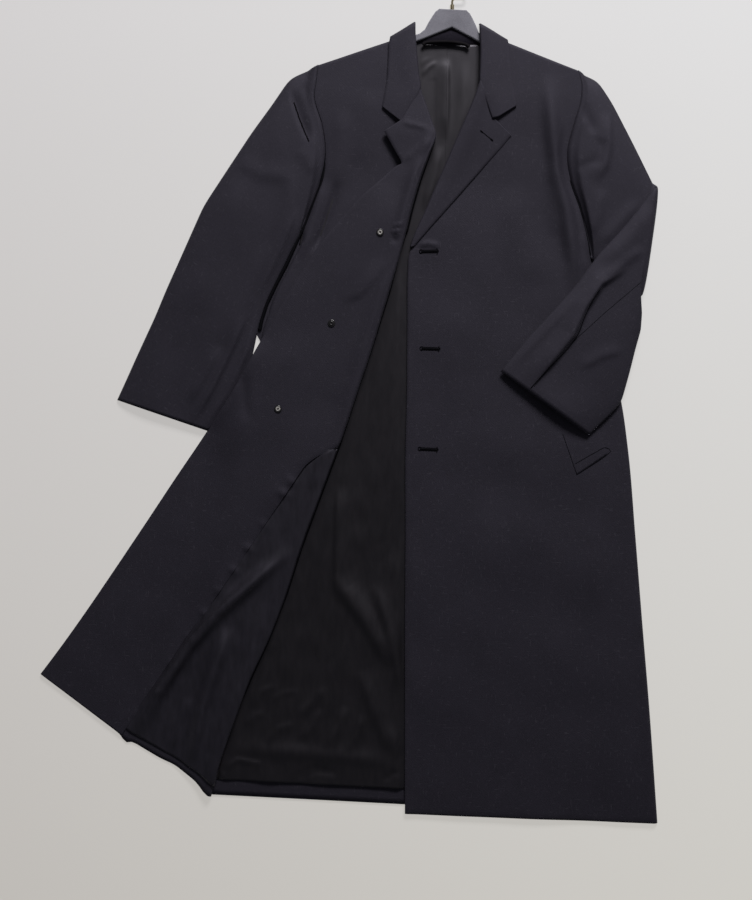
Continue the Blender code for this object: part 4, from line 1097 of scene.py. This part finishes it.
def heightAt(height, x, y):
    return float(height(np.array([x]), np.array([y]))[0])


def level(height):
    return lambda x, y: np.full(x.shape, height)


def sewn(points, height, step=0.004):
    # plan points walked at even steps, each at its height
    row = np.array(points, float)
    count = max(3, int(rowLength(row) / step))
    walked = alongRow(row, np.linspace(0, rowLength(row), count))
    return [(x, y, heightAt(height, x, y)) for x, y in walked]


armholeSeam = dict(radius=0.0006, sunk=0.0018)
for side, body in (("left", leftBody), ("right", rightBody)):
    seam = sewn(armLine(body)[1:-1], lambda x, y: frontTop(x, y) - armholeSeam["sunk"])
    tube("coat_armhole_seam_" + side, seam, armholeSeam["radius"], wool)

# a dark twist for the stitches, also used as painted shade for the tubes in the folds below
threadAndShadeLook = dict(woolLook, dark=(0.0008, 0.0008, 0.001, 1), light=(0.003, 0.003, 0.004, 1), sheen=0.0,
                  slub=(0.004, 0.004, 0.005, 1), specular=0.08)
thread = woolFinish("silk twist, also painted shade", threadAndShadeLook)
overLeftSleeve = onTop(leftSleeve)
# painted shade: dark tubes put where only shade is, deep in the folds and gaps, and one real seam on the
# forearm: route, radius and height
shadeTubesAndSeam = (
    ("coat_underarm_painted_shade_right",
     ((325.5, 150), (325.6, 166), (321, 187), (312, 210), (304.5, 228), (298.6, 239), (287.5, 264),
      (277, 284), (267.5, 304), (262, 321), (260.5, 330)),
     0.0030, lambda x, y: 0.0036 + 0.0010 * smooth((y - 0.30) / 0.08)),
    ("coat_underarm_painted_shade_left", ((569, 182), (579.5, 211), (584.5, 232), (589.5, 256)), 0.0016,
     level(0.0046)),
    ("coat_hinge_painted_shade_upper", ((433.5, 142), (427, 160), (419.5, 182), (412, 208), (406, 233)),
     0.0030, level(0.0052)),
    ("coat_hinge_painted_shade_lower",
     ((406, 233), (398.5, 257), (389.5, 292), (372, 348), (358.5, 388), (339.5, 446), (321.5, 494),
      (301.5, 548), (287.5, 592), (269.5, 638), (252.5, 675), (236, 713), (219, 756)),
     0.0019, level(0.0034)),
    ("coat_sleeve_fold_painted_shade", ((294.5, 105), (299.5, 120), (305, 134), (309.5, 144)), 0.0012,
     onTop(rightSleeve)),
    ("coat_forearm_fold_painted_shade",
     ((529, 389), (549, 366), (566, 349), (576, 335), (582, 318), (589, 303), (597, 291)),
     0.0010, lambda x, y: overLeftSleeve(x, y) - 0.0003),
    ("coat_forearm_seam",
     ((639.0, 283.2), (603.2, 313.5), (584, 331), (575.2, 338.7), (552, 364), (532.3, 387.2)),
     0.0004, overLeftSleeve),
)
for name, route, radius, height in shadeTubesAndSeam:
    tube(name, sewn(spots(route), height), radius, thread)


holeSet = dict(twist=0.0008, slit=0.8, eye=1.5, above=0.0002, barAbove=0.0003, bar=2.4)


def buttonhole(name, start, end, height, wide):
    # a worked hole: two rows of twist round a slit, an eye at its start and a bar tack at its end
    a, b = Vector(spot(*start)), Vector(spot(*end))
    run = (b - a).normalized()
    side = Vector((-run.y, run.x))

    def rounding(centre, first, reach):
        turns = [first + math.pi * k / 8 for k in range(9)]
        return [centre + run * math.cos(turn) * reach + side * math.sin(turn) * reach for turn in turns]

    def stitched(part, points, radius, above, closed=False):
        raised = [(p.x, p.y, heightAt(height, p.x, p.y) + above) for p in points]
        tube(name + part, raised, radius, thread, closed)

    outline = rounding(a, math.pi / 2, wide * holeSet["eye"])
    outline += [a.lerp(b, k / 12) - side * wide for k in range(1, 12)]
    outline += rounding(b, -math.pi / 2, wide)
    outline += [b.lerp(a, k / 12) + side * wide for k in range(1, 12)]
    stitched("", outline, holeSet["twist"], holeSet["above"], True)
    slit = [a.lerp(b, k / 12) for k in range(13)]
    stitched("_slit", slit, wide * holeSet["slit"], holeSet["above"])
    bar = [b + side * wide * holeSet["bar"] * share for share in (-1.0, -0.5, 0.0, 0.5, 1.0)]
    stitched("_bar", bar, holeSet["twist"], holeSet["barAbove"])


frontSurface = onTop(leftFront)
lapelSurface = onTop(leftLapel)
buttonhole("coat_buttonhole_1", (421.0, 252.6), (436.8, 252.2), frontSurface, 0.0020)
buttonhole("coat_buttonhole_2", (421.4, 349.0), (438.4, 349.6), frontSurface, 0.0019)
buttonhole("coat_buttonhole_3", (419.6, 448.8), (436.6, 449.6), frontSurface, 0.0019)
lapelHole = ((479.8, 133.8), (491.6, 143.0))
tube("coat_lapel_buttonhole", sewn(spots(lapelHole), lapelSurface), 0.0006, thread)
for number, ((across, down), size) in enumerate((((480.6, 134.4), 0.0012), ((490.8, 142.4), 0.0013))):
    knot = ((across - 1.1, down - 0.8), (across + 1.1, down + 0.8))
    tube("coat_lapel_knot_" + str(number + 1), sewn(spots(knot), lapelSurface), size, thread)
print("buttonholes sewn")

# pocket welts: a padded strip let in on a slant, its ends stitched down
weltSet = dict(length=0.1795, width=0.060, slant=math.radians(19), shear=0.268, thickness=0.0012,
               edgeFall=0.0010, stitch=0.0005)


def makeWelt(node, centre, turn, height):
    name = "coat_" + node
    build = bmesh.new()
    bmesh.ops.create_grid(build, x_segments=30, y_segments=50, size=0.5)
    bmesh.ops.scale(build, verts=build.verts, vec=(weltSet["width"], weltSet["length"], 1))
    reach = weltSet["width"] / 2
    for vertex in build.verts:
        across, along = vertex.co.x / reach, vertex.co.y / (weltSet["length"] / 2)
        fall = max(across, 0.0) ** 4 + 0.4 * abs(across) ** 14 + 0.4 * abs(along) ** 30
        vertex.co.z = -weltSet["edgeFall"] * fall
        vertex.co.y += weltSet["shear"] * (vertex.co.x + reach) * math.copysign(1.0, turn)
    bmesh.ops.rotate(build, verts=build.verts, matrix=Matrix.Rotation(turn, 3, "Z"))
    bmesh.ops.translate(build, verts=build.verts, vec=(*centre, 0))
    for vertex in build.verts:
        vertex.co.z += heightAt(height, vertex.co.x, vertex.co.y)
    for face in build.faces:
        face.smooth = True
    mesh = bpy.data.meshes.new(name)
    build.to_mesh(mesh)
    build.free()
    mesh.materials.append(wool)
    piece = bpy.data.objects.new(name, mesh)
    bpy.context.scene.collection.objects.link(piece)
    wall = piece.modifiers.new("wall", "SOLIDIFY")
    wall.thickness = weltSet["thickness"]
    wall.offset = 0.0
    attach(piece, "root")
    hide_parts(node)
    return piece


leftWelt = makeWelt("left_pocket_welt", (0.3680, -0.0320), weltSet["slant"],
                    lambda x, y: frontTop(x, y) + 0.0012)
rightWelt = makeWelt("right_pocket_welt", (-0.048, -0.030), -weltSet["slant"],
                     lambda x, y: layer["front"] + hangerLift(y) + 0.0018)
weltStitches = (
    ((561.6, 434.4), (575.6, 474.6)),
    ((575.6, 474.6), (592.0, 464.0), (607.0, 453.8), (609.4, 451.6), (608.0, 449.0), (604.4, 447.4),
     (602.0, 447.8), (588.0, 455.6), (574.2, 463.6)),
)
for number, route in enumerate(weltStitches):
    stitches = sewn(spots(route), onTop(leftFront, leftWelt))
    tube("coat_welt_stitch_" + str(number + 1), stitches, weltSet["stitch"], thread)
print("pocket welts laid")

# counter buttons: a ring with a dark eye on a dark rim, sewn to the facing; two rings are pale, a painted
# reflection of their shine, and the middle one is dark
hornPaintedReflection = dict(veins=420.0, dark=(0.35, (0.20, 0.19, 0.18, 1)), light=(0.65, (0.46, 0.44, 0.42, 1)),
                roughness=0.45, bump=0.0)
blackHorn = dict(veins=240.0, dark=(0.0, (0.004, 0.004, 0.005, 1)), light=(1.0, (0.020, 0.018, 0.020, 1)),
                 roughness=0.25, bump=0.15)


def hornFinish(name, look):
    material, shader, make, links = newFinish(name)
    place = make("ShaderNodeTexCoord").outputs["Object"]
    veins = make("ShaderNodeTexNoise", in_Vector=place, in_Scale=look["veins"], in_Detail=3.0)
    colour = rampOf(make, veins.outputs["Fac"], look["dark"], look["light"])
    links.new(colour, shader.inputs["Base Color"])
    if look["bump"]:
        bump = make("ShaderNodeBump", in_Strength=look["bump"], in_Distance=0.0002,
                    in_Height=veins.outputs["Fac"])
        links.new(bump.outputs[0], shader.inputs["Normal"])
    settle(shader, Roughness=look["roughness"])
    return material


ringPaintedReflection = hornFinish("horn with painted reflection", hornPaintedReflection)
darkButton = hornFinish("black horn", blackHorn)


def turnedDisc(name, centre, base, profile, finish, lean=(0.0, 0.0)):
    # a profile of (radius, height) turned round the upright axis
    build = bmesh.new()
    line = [build.verts.new((radius, 0.0, height)) for radius, height in profile]
    edges = [build.edges.new(pair) for pair in zip(line, line[1:])]
    bmesh.ops.spin(build, geom=line + edges, cent=(0, 0, 0), axis=(0, 0, 1), angle=2 * math.pi, steps=32,
                   use_merge=True)
    bmesh.ops.remove_doubles(build, verts=build.verts, dist=1e-6)
    bmesh.ops.recalc_face_normals(build, faces=build.faces)
    for face in build.faces:
        face.smooth = True
    for vertex in build.verts:
        vertex.co.z += vertex.co.x * lean[0] + vertex.co.y * lean[1]
    bmesh.ops.translate(build, verts=build.verts, vec=(*centre, base))
    mesh = bpy.data.meshes.new(name)
    build.to_mesh(mesh)
    build.free()
    mesh.materials.append(finish)
    piece = bpy.data.objects.new(name, mesh)
    bpy.context.scene.collection.objects.link(piece)
    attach(piece, "root")
    return piece


rimProfile = ((0.0, 0.0), (0.0056, 0.0), (0.0062, 0.0005), (0.0060, 0.0011), (0.0048, 0.0013), (0.0, 0.0012))
ringProfile = ((0.0014, 0.0012), (0.0030, 0.0011), (0.0038, 0.0015), (0.0037, 0.0021), (0.0030, 0.0024),
               (0.0020, 0.0023), (0.0014, 0.0019), (0.0014, 0.0012))
for number, place in enumerate(((380.0, 235.2), (332.0, 324.6), (279.0, 409.4))):
    centre = spot(*place)
    at = (np.array([centre[0]]), np.array([centre[1]]))
    base = float((openWoolHeight(*at) + facingRelief(*at) + layer["onWool"])[0]) + 0.0009
    rim = turnedDisc("coat_counter_button_%d" % (number + 1), centre, base, rimProfile, darkButton)
    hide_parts("counter_button_%d" % (number + 1))
    # the middle ring dark, the other two pale with a painted reflection
    turnedDisc("coat_counter_ring_%d" % (number + 1), centre, base, ringProfile,
               darkButton if number == 1 else ringPaintedReflection)
print("counter buttons sewn on")

# hanging loop, hanger and hook
loopSet = dict(radius=0.0030, height=0.0086, step=0.003)
loopLine = ((422.8, 47.6), (424.6, 45.6), (430.0, 45.0), (438.0, 44.7), (446.0, 44.6), (454.0, 45.2),
            (461.0, 46.2), (466.4, 47.6), (468.2, 49.8))
loopPoints = sewn(spots(loopLine), level(loopSet["height"]), loopSet["step"])
loop = tube("coat_hanging_loop", loopPoints, loopSet["radius"], loopSatin)
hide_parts("hanging_loop")

flockLook = dict(nap=900.0, rub=40.0, rubShare=0.6, dark=(0.55, (0.125, 0.122, 0.146, 1)),
                 light=(1.00, (0.215, 0.210, 0.245, 1)), bump=0.3, relief=0.0003, roughness=0.9, sheen=0.35)
flock, shader, make, links = newFinish("velvet flock")
place = make("ShaderNodeTexCoord").outputs["Object"]
nap = make("ShaderNodeTexNoise", in_Vector=place, in_Scale=flockLook["nap"], in_Detail=3.0)
rub = make("ShaderNodeTexNoise", in_Vector=place, in_Scale=flockLook["rub"], in_Detail=3.0)
both = make("ShaderNodeMath", operation="MULTIPLY_ADD", in_0=rub.outputs["Fac"], in_1=flockLook["rubShare"],
            in_2=nap.outputs["Fac"])
colour = rampOf(make, both.outputs[0], flockLook["dark"], flockLook["light"])
links.new(colour, shader.inputs["Base Color"])
bump = make("ShaderNodeBump", in_Strength=flockLook["bump"], in_Distance=flockLook["relief"],
            in_Height=nap.outputs["Fac"])
links.new(bump.outputs[0], shader.inputs["Normal"])
settle(shader, Roughness=flockLook["roughness"], Sheen_Weight=flockLook["sheen"])

goldLook = dict(rub=300.0, dark=(0.0, (0.42, 0.35, 0.22, 1)), light=(1.0, (0.62, 0.54, 0.38, 1)),
                smooth=0.18, dull=0.36)
gold, shader, make, links = newFinish("pale gold plate")
place = make("ShaderNodeTexCoord").outputs["Object"]
rub = make("ShaderNodeTexNoise", in_Vector=place, in_Scale=goldLook["rub"], in_Detail=3.0).outputs["Fac"]
colour = rampOf(make, rub, goldLook["dark"], goldLook["light"])
links.new(colour, shader.inputs["Base Color"])
worn = rangeOf(make, rub, 0.0, 1.0, goldLook["smooth"], goldLook["dull"])
links.new(worn, shader.inputs["Roughness"])
settle(shader, Metallic=1.0)
for node, finish in (("hanger", flock), ("hook_ferrule", gold), ("hook", gold), ("button_1", darkButton),
                     ("button_2", darkButton), ("button_3", darkButton)):
    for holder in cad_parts[node].material_slots:
        holder.material = finish
print("hanger and hook finished")
# camera, floor and lights
cameraSet = dict(x=0.0418, y=-0.0853, height=2.0, lens=48.9)
cameraData = bpy.data.cameras.new("camera")
camera = bpy.data.objects.new("camera", cameraData)
bpy.context.scene.collection.objects.link(camera)
camera.location = (cameraSet["x"], cameraSet["y"], cameraSet["height"])
cameraData.sensor_width = 36
cameraData.lens = cameraSet["lens"]
bpy.context.scene.camera = camera

floorSet = dict(size=4.0, drop=0.0003, grain=3.0, dark=(0.0, (0.195, 0.192, 0.190, 1)),
                light=(1.0, (0.205, 0.202, 0.200, 1)), roughness=0.9, specular=0.1, hemY=-0.80, collarY=0.62,
                rightX=-0.56, leftX=0.64, hemRightPaintedGlow=(0.440, 0.420, 0.393, 1),
                collarRightPaintedGlow=(0.500, 0.487, 0.489, 1), hemLeftPaintedGlow=(0.520, 0.505, 0.471, 1),
                collarLeftPaintedGlow=(0.560, 0.557, 0.562, 1))
build = bmesh.new()
bmesh.ops.create_grid(build, x_segments=1, y_segments=1, size=floorSet["size"])
bmesh.ops.translate(build, verts=build.verts, vec=(0, 0, -floorSet["drop"]))
floorMesh = bpy.data.meshes.new("floor")
build.to_mesh(floorMesh)
build.free()
floor = bpy.data.objects.new("floor", floorMesh)
bpy.context.scene.collection.objects.link(floor)
floorFinish, shader, make, links = newFinish("floor paper")
place = make("ShaderNodeTexCoord").outputs["Object"]
grain = make("ShaderNodeTexNoise", in_Vector=place, in_Scale=floorSet["grain"], in_Detail=3.0)
colour = rampOf(make, grain.outputs["Fac"], floorSet["dark"], floorSet["light"])
links.new(colour, shader.inputs["Base Color"])
# most of its brightness is a glow of its own, painted light that washes out the shadows on it: dimmer towards
# the hem and the coat's right, a painted falloff of the light
parts = make("ShaderNodeSeparateXYZ", in_Vector=place)
toCollar = rangeOf(make, parts.outputs["Y"], floorSet["hemY"], floorSet["collarY"])
toLeft = rangeOf(make, parts.outputs["X"], floorSet["rightX"], floorSet["leftX"])
paintedGlowRight = make("ShaderNodeMix", data_type="RGBA", in_Factor=toCollar, in_6=floorSet["hemRightPaintedGlow"],
                 in_7=floorSet["collarRightPaintedGlow"])
paintedGlowLeft = make("ShaderNodeMix", data_type="RGBA", in_Factor=toCollar, in_6=floorSet["hemLeftPaintedGlow"],
                in_7=floorSet["collarLeftPaintedGlow"])
paintedGlow = make("ShaderNodeMix", data_type="RGBA", in_Factor=toLeft, in_6=paintedGlowRight.outputs[2],
            in_7=paintedGlowLeft.outputs[2])
links.new(paintedGlow.outputs[2], shader.inputs["Emission Color"])
settle(shader, Roughness=floorSet["roughness"], Specular_IOR_Level=floorSet["specular"],
       Emission_Strength=1.0)
floorMesh.materials.append(floorFinish)


def areaLight(name, place, aim, size, power, colour):
    data = bpy.data.lights.new(name, "AREA")
    data.shape = "RECTANGLE"
    data.size, data.size_y = size
    data.energy = power
    data.color = colour
    lamp = bpy.data.objects.new(name, data)
    bpy.context.scene.collection.objects.link(lamp)
    lamp.location = place
    lamp.rotation_euler = (Vector(aim) - Vector(place)).to_track_quat("-Z", "Y").to_euler()


windowSet = dict(place=(0.8, 3.1, 2.0), aim=(0.0, 0.0, 0.0), size=(1.5, 1.05), power=143.0,
                 colour=(1.0, 0.99, 0.985))
areaLight("window", **windowSet)
roomSet = dict(colour=(0.93, 0.95, 1.0, 1), strength=0.12)
world = bpy.data.worlds.new("room")
bpy.context.scene.world = world
world.use_nodes = True
background = world.node_tree.nodes["Background"]
background.inputs[0].default_value = roomSet["colour"]
background.inputs[1].default_value = roomSet["strength"]
bpy.context.scene.view_settings.view_transform = "Standard"
print("camera and lights placed")
